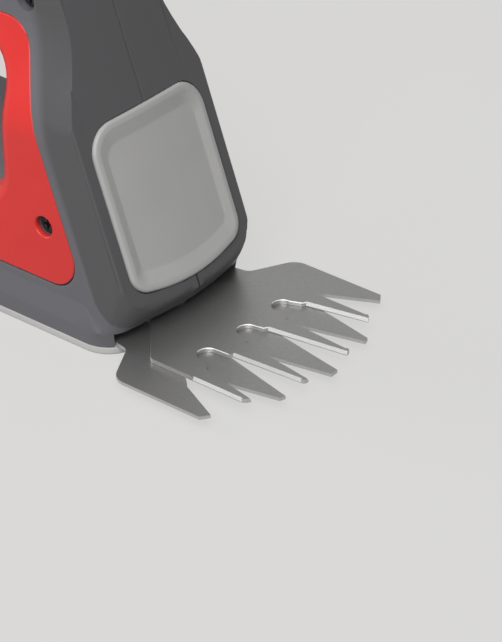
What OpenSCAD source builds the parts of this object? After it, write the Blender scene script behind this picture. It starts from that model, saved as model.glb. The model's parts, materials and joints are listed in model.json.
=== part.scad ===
// Cordless grass shears: a low body on a sole plate with a closed loop handle, a fixed toothed
// blade and, on it, a swinging toothed blade that a crown wheel and its crank pin drive.
// Millimetres. The blade pivot's axis meets the ground at the origin, -Y is ahead, +Z is up.

/* [Blades] */
// Width across the fixed blade
blade_w = 80; // [76:0.5:84]
// Thickness of the fixed blade
fixed_t = 1.0; // [0.8:0.1:1.2]
// Thickness of the moving blade
moving_t = 1.3; // [1.1:0.1:1.5]
// Play between the two blades
blade_play = 0.06; // [0.04:0.01:0.1]
// Reach of the fixed blade's three middle teeth from the pivot
fixed_reach = 56.2; // [55:0.2:58]
// Reach ahead of the fixed blade's outer teeth
wing_reach = 43.6; // [42:0.2:45]
// Distance ahead of the pivot at which the outer teeth's heels lie
wing_heel = 11.7; // [10.5:0.1:13]
// Reach of the moving teeth from the pivot
moving_reach = 54.6; // [53.6:0.1:55.6]
// Angle from one tooth to the next
tooth_pitch = 19.3; // [18.8:0.1:19.8]
// Width of a fixed tooth's blunt tip
fixed_tip = 1.9; // [1.5:0.1:2.4]
// Width of a moving tooth's blunt tip
moving_tip = 1.4; // [1.2:0.1:2]
// Width across the moving blade
moving_w = 55.4; // [54:0.2:57]
// Distance ahead of the pivot at which the moving blade's heels lie
moving_heel = 14.2; // [13:0.1:15]
// Radius of the moving blade's round gullets
gullet_r = 3.2; // [2.8:0.1:3.4]
// Distance ahead of the pivot of the moving blade's gullets
gullet_reach = 26; // [25:0.1:27]
// Distance ahead of the pivot at which the ground tooth flanks start
grind_start = 29.3; // [29:0.1:31]
// Depth to which the tooth flanks are ground
grind_step = 1.1; // [0.7:0.1:1.4]
// Slant of a ground flank, measured across the top of the blade
grind_bevel = 0.45; // [0.3:0.05:0.6]
// Radius of the blade pivot pin
pivot_r = 2; // [1.8:0.1:2.2]

/* [Body] */
// Width across the sole
base_w = 59; // [57:0.5:62]
// Width across the sides, above the skirt
side_w = 57; // [56:0.5:58]
// Height at which the skirt ends
skirt_top = 14; // [13.5:0.1:14.5]
// Distance from the blade pivot to the back
body_l = 150; // [147:0.5:158]
// Height of the handle's top
handle_top = 111; // [110:0.5:115]
// Width across the handle
handle_w = 36; // [35:0.5:40]
// Height at which the sides start to draw in towards the handle
shoulder_low = 58; // [52:1:62]
// Height at which the sides have drawn in to the handle's width
shoulder_high = 92; // [88:1:96]
// Angle at which the front leans back
front_lean = 20.6; // [19:0.1:22]
// Width of the body beside the front panel
front_edge = 5.6; // [5:0.1:6.4]
// Height of the front panel's lower edge
front_low = 16.6; // [16:0.1:18]
// Height of the front panel's upper edge
front_high = 64; // [60:1:66]
// Distance by which the front panel's lower corners stand ahead of the pivot
front_ahead = 5.4; // [4.8:0.1:6]
// Bulge of the front across its width
front_crown = 1.4; // [1:0.1:1.7]
// Wall of the housing
wall = 2.2; // [2:0.1:2.6]
// Thickness of the sole plate
sole_t = 3; // [2.8:0.1:3.4]
// Thickness of the sole plate's edge
sole_edge = 2.4; // [2:0.1:2.6]
// Width of the housing beside the mouth through which the blades pass
mouth_edge = 3.5; // [3.1:0.1:3.9]
// Thickness of the red side panels
panel_t = 2.2; // [1.8:0.1:2.4]
// Thickness of the front panel
front_t = 2.8; // [2.4:0.1:3]
// Depth of the front panel's field below its rim
front_dish = 1; // [0.6:0.1:1.2]
// Thickness of the soft grip
grip_t = 2; // [1.6:0.1:2.2]

/* [Hand opening] */
// Distance behind the blade pivot at which the opening starts
opening_front = 39.2; // [38.6:0.2:41]
// Distance behind the blade pivot at which the opening ends
opening_back = 122; // [116:0.5:123]
// Height of the opening's floor
opening_low = 37; // [36.5:0.1:38]
// Height of the opening's roof, the underside of the handle
opening_high = 79; // [77:0.5:80]
// Radius of the rolled rim
opening_roll = 5; // [4:0.5:5.5]

/* [Drive] */
// Distance from the blade pivot to the crank's axis
crank_y = 23; // [22:0.1:24]
// Throw of the crank pin
crank_throw = 3.9; // [3.4:0.1:4.1]
// Radius of the crank pin
crank_pin_r = 2; // [1.6:0.1:2.2]
// Radius of the roller in the blade's fork
roller_r = 3; // [2.7:0.1:3.2]
// Radius of the wheel's hub in its bearing
hub_r = 7.2; // [6.8:0.1:7.6]
// Number of the crown wheel's teeth
crown_teeth = 44; // [40:2:46]
// Number of the pinion's teeth
pinion_teeth = 12; // [11:1:13]
// Diameter of the motor
motor_d = 20.4; // [19:0.1:21]
// Length of the motor's can
motor_l = 27; // [24:0.5:28]
// Radius of the motor's shaft
shaft_r = 1; // [0.8:0.05:1.15]

/* [Power] */
// Diameter of the battery cell
cell_d = 18.4; // [17.6:0.1:18.8]
// Length of the battery cell
cell_l = 65; // [60:0.5:65.5]
// Height of the charging socket above the ground
socket_z = 46; // [44:0.5:50]
// Radius of the charging plug's hole
plug_r = 1.8; // [1.5:0.05:2.6]
// Height of the charge light above the ground
lens_z = 62; // [59:0.5:66]
// Radius of the charge light's lens
lens_r = 2; // [1.6:0.1:2.4]

/* [Controls] */
// Width of the trigger
trigger_w = 11; // [9:0.5:12]
// Distance by which the trigger hangs below the handle
trigger_drop = 6; // [5:0.5:7]
// Length of the trigger's finger pad
trigger_l = 30; // [26:0.5:31]
// Distance from the blade pivot to the lock button
lock_y = 54; // [53.5:0.1:54.5]
// Width of the lock button
lock_w = 12; // [10:0.5:13]
// Length of the lock button
lock_l = 14; // [12:0.5:14.5]
// Height by which the lock button stands above the handle
lock_h = 3.2; // [2.6:0.1:3.6]
// Wire of the springs
spring_wire = 0.6; // [0.5:0.05:0.7]
// Curls of a spring
spring_curls = 5; // [4:1:6]

/* [Fasteners] */
// Radius of the screws' shanks
screw_r = 1.4; // [1.2:0.05:1.5]
// Radius of the screws' heads
head_r = 2.75; // [2.5:0.05:2.85]
// Thickness of the screws' heads
head_t = 1.8; // [1.5:0.1:2]
// Depth of a housing screw's head below the side
screw_sink = 2; // [1.8:0.1:2.6]

/* [Fits] */
// Gap round the inlaid panels
inlay_gap = 0.25; // [0.2:0.05:0.4]
// Gap round a piece in its seat
seat_gap = 0.15; // [0.1:0.05:0.2]
// Gap of a shaft in its bearing
run_gap = 0.05; // [0.03:0.01:0.08]
// Gap between the two housing halves
seam_gap = 0.12; // [0.08:0.02:0.2]

/* [Hidden] */
$fn = 48;
far = 300;
skim = 0.01;

dark_grey = [0.27, 0.28, 0.30];
light_grey = [0.60, 0.60, 0.59];
panel_red = [0.72, 0.07, 0.06];
black = [0.08, 0.08, 0.09];
steel = [0.55, 0.56, 0.57];

// Half width of the hollow in the body, behind the side panels and the skirt's wall
hollow_half = min(side_w / 2 - panel_t, base_w / 2) - wall;
front_w = side_w - 2 * front_edge;
mouth_half = base_w / 2 - mouth_edge;

// Heights of the blade stack
fixed_z = sole_t;
moving_z = fixed_z + fixed_t + blade_play;
moving_top = moving_z + moving_t;
washer_t = 0.25;
washer_z = moving_top + run_gap;
pivot_head_z = washer_z + washer_t + skim;
pivot_head_t = 1.4;
pivot_foot = 2;
pivot_head_r = pivot_r + 0.9;

// Heights of the drive
plate_z = moving_top + 0.95;
plate_t = 2;
wheel_z = plate_z + plate_t + 0.3;
wheel_t = 1.8;
tooth_h = 1.1;
// Middle radius of the crown wheel's teeth
crown_r = hollow_half / 2 + 0.15;
crown_module = 2 * crown_r / crown_teeth;
pinion_r = pinion_teeth * crown_module / 2;
pinion_z = wheel_z + wheel_t + crown_module * 0.85 + 0.3 + pinion_r;
crown_face = 2;
wheel_r = crown_r + crown_face / 2 + 0.8;
journal_r = 2.5;
bridge_z = pinion_z + 0.8;
bridge_t = 2;
bearing_r = hub_r + 1.8;
post_r = 3;
post_x = hollow_half - 5.8;
post_front_y = crank_y - 11;
post_back_y = crank_y + 6.5;
posts = [for (x = [-post_x, post_x], y = [post_front_y, post_back_y]) [x, y]];
fork_gap = 0.9;
fork_half = roller_r + fork_gap;
fork_wall = 3.5;

// Stations of the motor and the battery cell, from front to back
pinion_y = crank_y + crown_r - crown_face / 2;
bulkhead_y = crank_y + 18.5;
bulkhead_t = 2.3;
motor_y = bulkhead_y + bulkhead_t;
motor_r = motor_d / 2;
motor_boss_r = 3.4;
motor_cap_l = 4;
cell_r = cell_d / 2;
cell_back = body_l - wall - 3.5;
cell_y = cell_back - cell_l;
cell_z = sole_t + 1.2 + cell_r;
motor_ribs = [motor_y + 4, motor_y + motor_l - 7];
cell_ribs = [cell_y + 9, cell_back - 14];
rib_t = 2.4;

// The front: a plane that leans back, gently bulged, in a frame whose corners sweep back to the sides
slope = tan(front_lean);
corner_height = front_low + 2.3;
front_zero = -front_ahead - slope * corner_height;
frame_w = 4.3;
frame_back = 0.2;
crease_back = 11.5;
corner_scoop = 0.45;
nose_low = -4;
nose_corner = 13;
cheek_low = 6;
function front_at(z) = front_zero + slope * z;

// The skirt and the lip over the blades
back_flare = 1.2;
skirt_front = -2.5;
skirt_corner = 10;
lip_z = sole_t + 4;
lip_rise = 1.7;
lip_ahead = 5.8;
lip_end = -1.2;
rear_corner = 16;
handle_corner = 12;
front_corner = 20;
back_corner = 30;
side_draft = 0.003;

// Controls in the handle
trigger_y = 52;
trigger_z = opening_high + 8;
trigger_pin_r = 1.5;
trigger_hub_r = 3.4;
trigger_end = trigger_y - 2 + trigger_l;
trigger_top = opening_high + 4;
shelf_z = trigger_z + 8;
shelf_t = 2.2;
shelf_front = lock_y - 8;
shelf_back = trigger_end + 4;
switch_y = trigger_y + 8;
switch_l = 13;
switch_w = 6;
switch_h = 6.4;
trigger_spring_y = trigger_end - 3.5;
spring_r = 2.6;
stem_r = 1.9;
flange = 1.5;
flange_t = 1.8;
roof_z = handle_top - wall - panel_t;
flange_z = roof_z - 0.55 - flange_t;
board_y = body_l - 15.5;
board_t = 1.6;
board_low = opening_low - 1;
board_high = opening_high - 2;
board_half = 12;

// Screws along X that close the housing, as (y, z)
housing_screw_places = [[23, 33.3], [36, handle_top - 17], [opening_back + 7, handle_top - 15],
  [body_l - 9, opening_low - 6.5]];
boss_r = head_r + 1.4;
recess_r = head_r + 0.3;
// Screws through the sole, as (x, y)
sole_boss_r = 3.4;
sole_boss_x = hollow_half - 2.3;
sole_screw_places = [for (x = [-sole_boss_x, sole_boss_x], y = [motor_y + 2, body_l - 14]) [x, y]];
sole_screw_l = 11;
blade_screw_x = hollow_half - 4.6;
blade_screw_places = [[-blade_screw_x, 7], [blade_screw_x, 7]];

// Plane geometry
function unit(v) = v / norm(v);
function wrapped(a) = a > 180 ? a - 360 : a < -180 ? a + 360 : a;
// Points of the arc of radius r that rounds corner b between a and c
function corner(a, b, c, r) =
  r <= 0 ? [b] :
  let (u = unit(a - b), v = unit(c - b), half = acos(u * v) / 2,
       centre = b + unit(u + v) * r / sin(half),
       p = b + u * r / tan(half) - centre, q = b + v * r / tan(half) - centre,
       start = atan2(p.y, p.x), sweep = wrapped(atan2(q.y, q.x) - start),
       steps = max(2, ceil(abs(sweep) / 9)))
  [for (i = [0:steps]) centre + r * [cos(start + sweep * i / steps), sin(start + sweep * i / steps)]];
function rounded(p, r) =
  let (n = len(p)) [for (i = [0:n - 1]) each corner(p[(i + n - 1) % n], p[i], p[(i + 1) % n], r[i])];
function turned_left(v) = [-v.y, v.x];
// An anticlockwise outline moved in by d
function inset(p, d) =
  let (n = len(p))
  [for (i = [0:n - 1])
    let (a = turned_left(unit(p[i] - p[(i + n - 1) % n])), b = turned_left(unit(p[(i + 1) % n] - p[i])))
    p[i] + d * (a + b) / (1 + a * b)];
function rounded_inset(p, r, d) = rounded(inset(p, d), [for (v = r) v > 0 ? max(v - d, skim) : 0]);
function flipped(p) = [for (i = [len(p) - 1:-1:0]) [-p[i].x, p[i].y]];
function reversed(v) = [for (i = [len(v) - 1:-1:0]) v[i]];
function polar(r, a) = [r * sin(a), r * cos(a)];
function across(a) = [cos(a), -sin(a)];
function smooth(t) = let (c = min(max(t, 0), 1)) c * c * (3 - 2 * c);

// Solids from outlines in the three main planes
module along_x(p, x0, x1) {
  translate([x0, 0, 0]) rotate([90, 0, 90]) linear_extrude(x1 - x0) polygon(p);
}
module along_y(p, y0, y1) {
  translate([0, y1, 0]) rotate([90, 0, 0]) linear_extrude(y1 - y0) polygon(p);
}
module along_z(p, z0, z1) {
  translate([0, 0, z0]) linear_extrude(z1 - z0) polygon(p);
}
module rod_x(r, x0, x1, y, z) {
  translate([x0, y, z]) rotate([0, 90, 0]) cylinder(r = r, h = x1 - x0);
}
module rod_y(r, y0, y1, x, z) {
  translate([x, y0, z]) rotate([-90, 0, 0]) cylinder(r = r, h = y1 - y0);
}
module rod_z(r, z0, z1, x, y) {
  translate([x, y, z0]) cylinder(r = r, h = z1 - z0);
}
module block(low, high) {
  translate(low) cube(high - low);
}

// Outer form of the body
// Half width at height z, with a little draft and a soft shoulder below the handle
function soft_half_w(z) =
  let (s = smooth((z - shoulder_low) / (shoulder_high - shoulder_low)))
  (side_w / 2 - side_draft * (z - skirt_top)) * (1 - s) + handle_w / 2 * s;
width_heights = concat([lip_z - 1, skirt_top, shoulder_low],
  [for (i = [1:9]) shoulder_low + (shoulder_high - shoulder_low) * i / 9]);
width_steps = [for (z = width_heights) [z, soft_half_w(z)]];
function half_w(z) = lookup(z, width_steps);
// Right half of the front view, moved in by d, from the bottom to the top centre
function width_edge(d) = concat(
  [for (z = width_heights) [half_w(z) - d, z]],
  [for (a = [0:10:90]) [handle_w / 2 - handle_corner, handle_top - handle_corner]
    + max(handle_corner - d, skim) * [cos(a), sin(a)]]);
function width_outline(d) = concat(width_edge(d), flipped(width_edge(d)));

frame_x = front_w / 2 + frame_w;
section_corners = [[side_w / 2, far], [-side_w / 2, far], [-side_w / 2, crease_back],
  [-(side_w / 2 + frame_x) / 2 + corner_scoop, (crease_back + frame_back) / 2],
  [-frame_x, frame_back], [-front_w / 2, 0]];
crown_points = [for (i = [-3:3]) let (t = i / 4) [t * front_w / 2, -front_crown * (1 - t * t)]];
section_raw = concat(section_corners, crown_points,
  [for (i = [5:-1:2]) [-section_corners[i].x, section_corners[i].y]]);
section_radii = concat([0, 0, 1.5, 60, 1, 0.8], [for (p = crown_points) 0], [0.8, 1, 60, 1.5]);
function leaning(p) = [for (q = p) [q.x, (front_zero + q.y) * cos(front_lean)]];
// Section across the lean of the front, moved in by d
function lean_section(d) = rounded_inset(leaning(section_raw), section_radii, d);
hollow_front = (wall + front_t + 0.4) / cos(front_lean);
hollow_section = leaning([[side_w / 2, far], [-side_w / 2, far], [-side_w / 2, crease_back + 5],
  [-front_w / 2 + 3.4, hollow_front], [front_w / 2 - 3.4, hollow_front], [side_w / 2, crease_back + 5]]);

front_top = [front_at(handle_top) - front_crown - 0.3, handle_top];
profile_corners = [[front_at(lip_z) - front_crown - 0.3, lip_z], [12, lip_z], [12, skirt_top],
  [body_l, skirt_top], [body_l, handle_top], front_top];
profile_radii = [0, 0, 0, 0, back_corner, front_corner];
hollow_profile = rounded_inset([[front_at(skirt_top) - front_crown - 0.3, skirt_top], [body_l, skirt_top],
  [body_l, handle_top], front_top], [0, 0, back_corner, front_corner], wall);
opening_corners = [[opening_front, opening_low], [opening_back + 3, opening_low],
  [opening_back, opening_high], [opening_front + 1, opening_high]];
opening_radii = [8, 12, 14, 12];
function opening_outline(d) = rounded(inset(opening_corners, -d), [for (r = opening_radii) r + d]);
// An outline with its tall straight runs divided, so that its points follow the shoulder
function divided(p) = [for (i = [0:len(p) - 1])
  let (a = p[i], b = p[(i + 1) % len(p)], n = abs(b.y - a.y) > 6 ? round(norm(b - a) / 4.1) : 1)
  for (k = [0:n - 1]) a + (b - a) * k / n];
function plan_back(side, edge) =
  let (x = side_w / 2 - side, y = body_l - edge, r = rear_corner - edge)
  rounded([[-x, -far], [x, -far], [x, y], [-x, y]], [0, 0, r, r]);

// What a side view, the width, a section across the lean and the plan have in common
module upper_form(profile, section, side, edge) {
  intersection() {
    along_x(profile, -far, far);
    along_y(width_outline(side), -far, far);
    rotate([-front_lean, 0, 0]) translate([0, 0, -far]) linear_extrude(2 * far) polygon(section);
    along_z(plan_back(side, edge), -far, far);
  }
}
function skirt_outline(d) = rounded_inset(
  [[-base_w / 2, skirt_front], [base_w / 2, skirt_front],
   [base_w / 2, body_l + back_flare], [-base_w / 2, body_l + back_flare]],
  [skirt_corner, skirt_corner, rear_corner + back_flare, rear_corner + back_flare], d);
lip_outline = rounded(
  [[-base_w / 2, lip_end], [0, -lip_ahead], [base_w / 2, lip_end],
   [base_w / 2, body_l + back_flare], [-base_w / 2, body_l + back_flare]],
  [8, 60, 8, rear_corner + back_flare, rear_corner + back_flare]);
skirt_top_outline = rounded([[-side_w / 2, body_l], [-side_w / 2, 8], [-front_w / 2 + 2, front_at(skirt_top) + 1.5],
  [front_w / 2 - 2, front_at(skirt_top) + 1.5], [side_w / 2, 8], [side_w / 2, body_l]],
  [rear_corner, 6, 6, 6, 6, rear_corner]);
module skirt_form() {
  along_z(skirt_outline(0), sole_edge, lip_z);
  hull() {
    along_z(lip_outline, lip_z, lip_z + skim);
    along_z(skirt_top_outline, skirt_top - skim, skirt_top);
  }
}
module in_front_plane() {
  translate([0, front_at(front_low), front_low]) rotate([90 - front_lean, 0, 0]) children();
}
function front_outline(half, low, r) =
  rounded([[-half, low], [half, low], [half, handle_top], [-half, handle_top]], [r, r, 0, 0]);
cheek_back = crease_back * cos(front_lean) + 1;
// The front's round-cornered frame, drawn back to the cheeks and down to the chin over the blades
module front_form() {
  hull() {
    for (t = [0, 0.64, 1]) in_front_plane() translate([0, 0, front_crown * t]) linear_extrude(skim)
      polygon(front_outline(frame_x - front_w * 0.43 * t, nose_low, nose_corner * (1 - 0.6 * t)));
    in_front_plane() translate([0, 0, -cheek_back - 1]) linear_extrude(1)
      polygon(front_outline(side_w / 2 + skim, cheek_low, 0));
    along_z(rounded([[-base_w / 2, lip_end], [0, -lip_ahead], [base_w / 2, lip_end], [base_w / 2, 8], [-base_w / 2, 8]],
      [8, 60, 8, 0, 0]), lip_z, lip_z + skim);
  }
}
module outer_form() {
  skirt_form();
  difference() {
    upper_form(rounded(profile_corners, profile_radii), lean_section(0), 0, 0);
    difference() {
      in_front_plane() translate([0, 0, -cheek_back]) linear_extrude(far) square([far, 2 * far], center = true);
      front_form();
    }
  }
}
module mouth() {
  along_y([[-mouth_half, 0], [mouth_half, 0], [mouth_half, lip_z],
    [mouth_half / 2, lip_z + lip_rise * 0.75], [0, lip_z + lip_rise],
    [-mouth_half / 2, lip_z + lip_rise * 0.75], [-mouth_half, lip_z]], -far, 6);
}
// The rolled rim of the hand opening on one side: rings that widen out to the side's face
module opening_rim(side) {
  steps = 6;
  rim_lift = 0.06;
  rings = [for (k = [-1:steps])
    let (t = 90 * max(k, 0) / steps, out = opening_roll * (1 - sin(t)),
         deep = opening_roll * (1 - cos(t)) - rim_lift)
    [for (p = divided(opening_outline(out))) [side * (half_w(p.y) - (k < 0 ? -2 : deep)), p.x, p.y]]];
  n = len(rings[0]);
  last = len(rings) - 1;
  middle = [(opening_front + opening_back) / 2, (opening_low + opening_high) / 2];
  ends = [[side * (half_w(middle.y) + 2), middle.x, middle.y],
    [side * (half_w(middle.y) - opening_roll), middle.x, middle.y]];
  points = concat([for (ring = rings) each ring], ends);
  outer_cap = [for (i = [0:n - 1]) [i, n * (last + 1), (i + 1) % n]];
  inner_cap = [for (i = [0:n - 1]) [last * n + (i + 1) % n, n * (last + 1) + 1, last * n + i]];
  walls = [for (k = [0:last - 1], i = [0:n - 1])
    let (a = k * n + i, b = k * n + (i + 1) % n, c = a + n, d = b + n)
    each [[a, b, d], [a, d, c]]];
  faces = concat(outer_cap, inner_cap, walls);
  polyhedron(points, side < 0 ? [for (f = faces) [f[0], f[2], f[1]]] : faces);
}

// Hollow of the body, with the ribs and bosses that carry what lies inside
module hollow() {
  along_z(rounded([[-hollow_half, 0.5], [hollow_half, 0.5], [hollow_half, body_l - wall],
    [-hollow_half, body_l - wall]], [3, 3, rear_corner - wall, rear_corner - wall]), 0, skirt_top + wall + 0.5);
  difference() {
    upper_form(hollow_profile, hollow_section, wall + panel_t, wall);
    along_x(opening_outline(wall), -far, far);
  }
}
module ribs() {
  for (y = motor_ribs)
    difference() {
      block([-far, y, sole_t + 0.2], [far, y + rib_t, pinion_z + 6]);
      rod_y(motor_r + seat_gap, y - 1, y + rib_t + 1, 0, pinion_z);
      block([-motor_r * 0.8, y - 1, 0], [motor_r * 0.8, y + rib_t + 1, pinion_z]);
    }
  for (y = cell_ribs)
    difference() {
      block([-far, y, sole_t + 0.2], [far, y + rib_t, cell_z + 6]);
      rod_y(cell_r + seat_gap, y - 1, y + rib_t + 1, 0, cell_z);
      block([-cell_r * 0.8, y - 1, 0], [cell_r * 0.8, y + rib_t + 1, cell_z]);
    }
  for (side = [-1, 1]) {
    ledge = hollow_half - 3.6;
    block([side < 0 ? -far : ledge, post_front_y - 1, moving_z + 0.4],
      [side < 0 ? -ledge : far, bulkhead_y - 2, plate_z - run_gap]);
    for (y = [post_front_y, bulkhead_y - 7])
      block([side < 0 ? -far : ledge + 1.5, y, plate_z + plate_t + run_gap],
        [side < 0 ? -ledge - 1.5 : far, y + 4, bridge_z - 1]);
    rod_x(trigger_hub_r, side < 0 ? -far : trigger_w / 2 + 0.8, side < 0 ? -trigger_w / 2 - 0.8 : far,
      trigger_y, trigger_z);
  }
  for (p = sole_screw_places) rod_z(sole_boss_r, sole_t + 0.05, sole_screw_l + 2, p.x, p.y);
  for (p = housing_screw_places) rod_x(boss_r, -far, far, p.x, p.y);
  difference() {
    block([-far, shelf_front, shelf_z], [far, shelf_back, shelf_z + shelf_t]);
    rod_z(stem_r + 0.35, 0, far, 0, lock_y);
  }
  for (z = [board_low + 3, board_high - 5])
    difference() {
      block([-far, board_y - 3, z], [far, board_y + board_t + 3, z + 2]);
      block([-board_half - seat_gap, board_y - seat_gap, 0],
        [board_half + seat_gap, board_y + board_t + seat_gap, far]);
    }
}

// Seats of the inlaid pieces
function panel_corner(z) = front_at(z) + crease_back + 3.4;
panel_low = skirt_top + 2.4;
panel_high = opening_high + 9;
panel_back = opening_back + 11;
panel_corners = [[panel_corner(panel_low), panel_low], [panel_back, panel_low],
  [panel_back, panel_high], [panel_corner(panel_high), panel_high]];
panel_radii = [8, 8, 8, 10];
function panel_outline(d) = rounded(inset(panel_corners, -d), [for (r = panel_radii) r + d]);
// The layer of the body's side between the depths a and b
module side_layer(side, a, b) {
  outer = width_edge(a);
  inner = reversed(width_edge(b));
  p = concat(outer, inner);
  along_y(side > 0 ? p : [for (q = p) [-q.x, q.y]], -far, far);
}
module side_seat(side) {
  intersection() {
    along_x(panel_outline(inlay_gap), side < 0 ? -far : 1, side < 0 ? -1 : far);
    side_layer(side, -3, panel_t + run_gap);
  }
}
grip_front = lock_y + 8;
grip_back = opening_back - 4;
grip_low = panel_high + 2;
module grip_form(a, b, gap) {
  intersection() {
    along_y(concat(width_outline(a), reversed(width_outline(b))), grip_front - gap, grip_back + gap);
    block([-far, -far, grip_low - gap], [far, far, far]);
  }
}
// Outline of the front panel, laid in the plane of the leaning front
front_rise = (front_high - front_low) / cos(front_lean);
// The panel's outline with its lower edge in a shallow bow, moved in at the sides and at the ends
bow = 5;
bow_low = -2;
function front_shape(side, end) =
  let (x = front_w / 2 - side, shoulder = bow_low + bow * 2 * x / front_w + end)
  [[-x, shoulder], [0, bow_low + end], [x, shoulder], [x, front_rise - end], [-x, front_rise - end]];
// The bow's radius leaves a straight run before the corners
front_corner_r = 6.5;
bow_angle = atan(2 * bow / front_w);
bow_r = min(70, (front_w / 2 / cos(bow_angle) - front_corner_r * tan(45 - bow_angle / 2) - 2.5) / tan(bow_angle));
front_radii = [front_corner_r, bow_r, front_corner_r, 9, 9];
front_rim = 1.3;
field_side = 5;
field_end = 6.4;
proud = 0.4;
dish_rim = rounded(front_shape(front_rim, front_rim), front_radii - [1, 1, 1, 1, 1]);
dish_field = rounded(front_shape(field_side, field_end), front_radii - [3, 6, 3, 4, 4]);
// The dish's outline, from the field's edge at t = 0 to the rim at t = 1, its long runs divided
function dish_outline(t) = [for (i = [0:len(dish_rim) - 1])
  let (j = (i + 1) % len(dish_rim), n = ceil(norm(dish_rim[j] - dish_rim[i]) / 5))
  for (k = [0:n - 1])
    let (a = dish_field[i] + (dish_field[j] - dish_field[i]) * k / n, b = dish_rim[i] + (dish_rim[j] - dish_rim[i]) * k / n)
    a + (b - a) * t];
function crown_at(x) = front_crown * (1 - pow(2 * x / front_w, 2)) * cos(front_lean);
// The dish's sloping wall, which follows the bulge of the panel
module dish() {
  rings = [for (t = [-0.25, 1.4])
    [for (q = dish_outline(t)) [q.x, q.y, crown_at(q.x) + proud - front_dish * (1 - t)]]];
  n = len(rings[0]);
  points = concat(rings[0], rings[1], [[0, front_rise / 2, -3], [0, front_rise / 2, front_crown + 4]]);
  faces = [for (i = [0:n - 1])
    let (j = (i + 1) % n)
    each [[i, n + j, j], [i, n + i, n + j], [2 * n, i, j], [2 * n + 1, n + j, n + i]]];
  polyhedron(points, faces);
}
module front_block(gap, deep) {
  in_front_plane() translate([0, 0, -deep]) linear_extrude(deep + 12)
    polygon(rounded(front_shape(-gap, -gap), [for (r = front_radii) r + gap]));
}
module front_seat() {
  front_block(inlay_gap, front_t + run_gap);
}

// The housing
module housing_form() {
  difference() {
    outer_form();
    along_x(opening_outline(0), -far, far);
    difference() {
      hollow();
      ribs();
    }
    mouth();
    front_seat();
    grip_form(-3, grip_t + run_gap, inlay_gap);
    trigger_way();
    lock_way();
    tail_ways();
    for (p = sole_screw_places) rod_z(screw_r + skim, 0, sole_screw_l, p.x, p.y);
    rod_x(trigger_pin_r + skim, -trigger_w / 2 - 4, trigger_w / 2 + 4, trigger_y, trigger_z);
  }
}
module trigger_way() {
  block([-trigger_w / 2 - 0.4, trigger_y - 3, opening_high - trigger_drop - 1],
    [trigger_w / 2 + 0.4, trigger_end + 2, opening_high + wall + 1]);
}
module lock_way() {
  block([-lock_w / 2 - 0.35, lock_y - lock_l / 2 - 0.35, roof_z - 1],
    [lock_w / 2 + 0.35, lock_y + lock_l / 2 + 0.35, handle_top + 1]);
}
module tail_ways() {
  rod_y(socket_nose_r + seat_gap, body_l - wall - 1, body_l + 1, 0, socket_z);
  rod_y(lens_r + seat_gap, body_l - wall - 1, body_l + 1, 0, lens_z);
}
module housing_half(side) {
  difference() {
    intersection() {
      housing_form();
      block([side < 0 ? -far : seam_gap / 2, -far, 0], [side < 0 ? -seam_gap / 2 : far, far, far]);
    }
    opening_rim(side);
    side_seat(side);
    for (p = housing_screw_places) {
      face = half_w(p.y) - screw_sink;
      if (side < 0) {
        rod_x(screw_r + 0.2, -far, 0, p.x, p.y);
        rod_x(recess_r, -far, -face + head_t, p.x, p.y);
      } else
        rod_x(screw_r + skim, -1, face - 4, p.x, p.y);
    }
  }
}
module housing_right() color(dark_grey) housing_half(-1);
module housing_left() color(dark_grey) housing_half(1);

module side_panel(side) {
  difference() {
    intersection() {
      along_x(panel_outline(0), side < 0 ? -far : 1, side < 0 ? -1 : far);
      side_layer(side, 0, panel_t);
    }
    along_x(opening_outline(0), -far, far);
    opening_rim(side);
    if (side < 0)
      for (p = housing_screw_places) rod_x(recess_r, -far, 0, p.x, p.y);
  }
}
module side_panel_right() color(panel_red) side_panel(-1);
module side_panel_left() color(panel_red) side_panel(1);

module lean_prism(d) {
  rotate([-front_lean, 0, 0]) translate([0, 0, -far]) linear_extrude(2 * far) polygon(lean_section(d));
}
module front_panel() color(light_grey) {
  difference() {
    intersection() {
      front_block(0, front_t);
      lean_prism(-proud);
    }
    difference() {
      in_front_plane() dish();
      lean_prism(front_dish - proud);
    }
  }
}

module sole_plate() color(light_grey) {
  difference() {
    union() {
      along_z(skirt_outline(0), 0, sole_edge);
      along_z(skirt_outline(base_w / 2 - hollow_half + 0.3), 0, sole_t);
      // Apron under the blades, inside the mouth
      intersection() {
        along_z(skirt_outline(0.5), 0, sole_t);
        block([-mouth_half + 0.3, -far, 0], [mouth_half - 0.3, 5.7, far]);
      }
    }
    rod_z(pivot_r + skim, sole_t - pivot_foot, far, 0, 0);
    for (p = sole_screw_places) {
      rod_z(screw_r + 0.2, -1, far, p.x, p.y);
      rod_z(head_r + 0.3, -1, head_t * 0.75, p.x, p.y);
    }
    for (p = blade_screw_places) rod_z(screw_r + skim, sole_t - 2.2, far, p.x, p.y);
  }
}

module grip_saddle() color(black) grip_form(0, grip_t, 0);

// Outline of one tooth's blunt tip, as its two corners
function tip(reach, angle, w) = [for (s = [-1, 1]) polar(reach, angle) + s * w / 2 * across(angle)];

// A gullet between two teeth: mouth corners, where the ground flanks end, and the round bottom
module gullet(mouth_a, mouth_b, ground_a, ground_b, centre, r, step) {
  a = ground_a + [step, -step * 0.7];
  b = ground_b + [-step, -step * 0.7];
  polygon([mouth_a, ground_a, a, centre - [r, 0], centre, centre + [r, 0], b, ground_b, mouth_b,
    (mouth_a + mouth_b) / 2 + [0, 20]]);
  translate(centre) circle(r);
}

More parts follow.
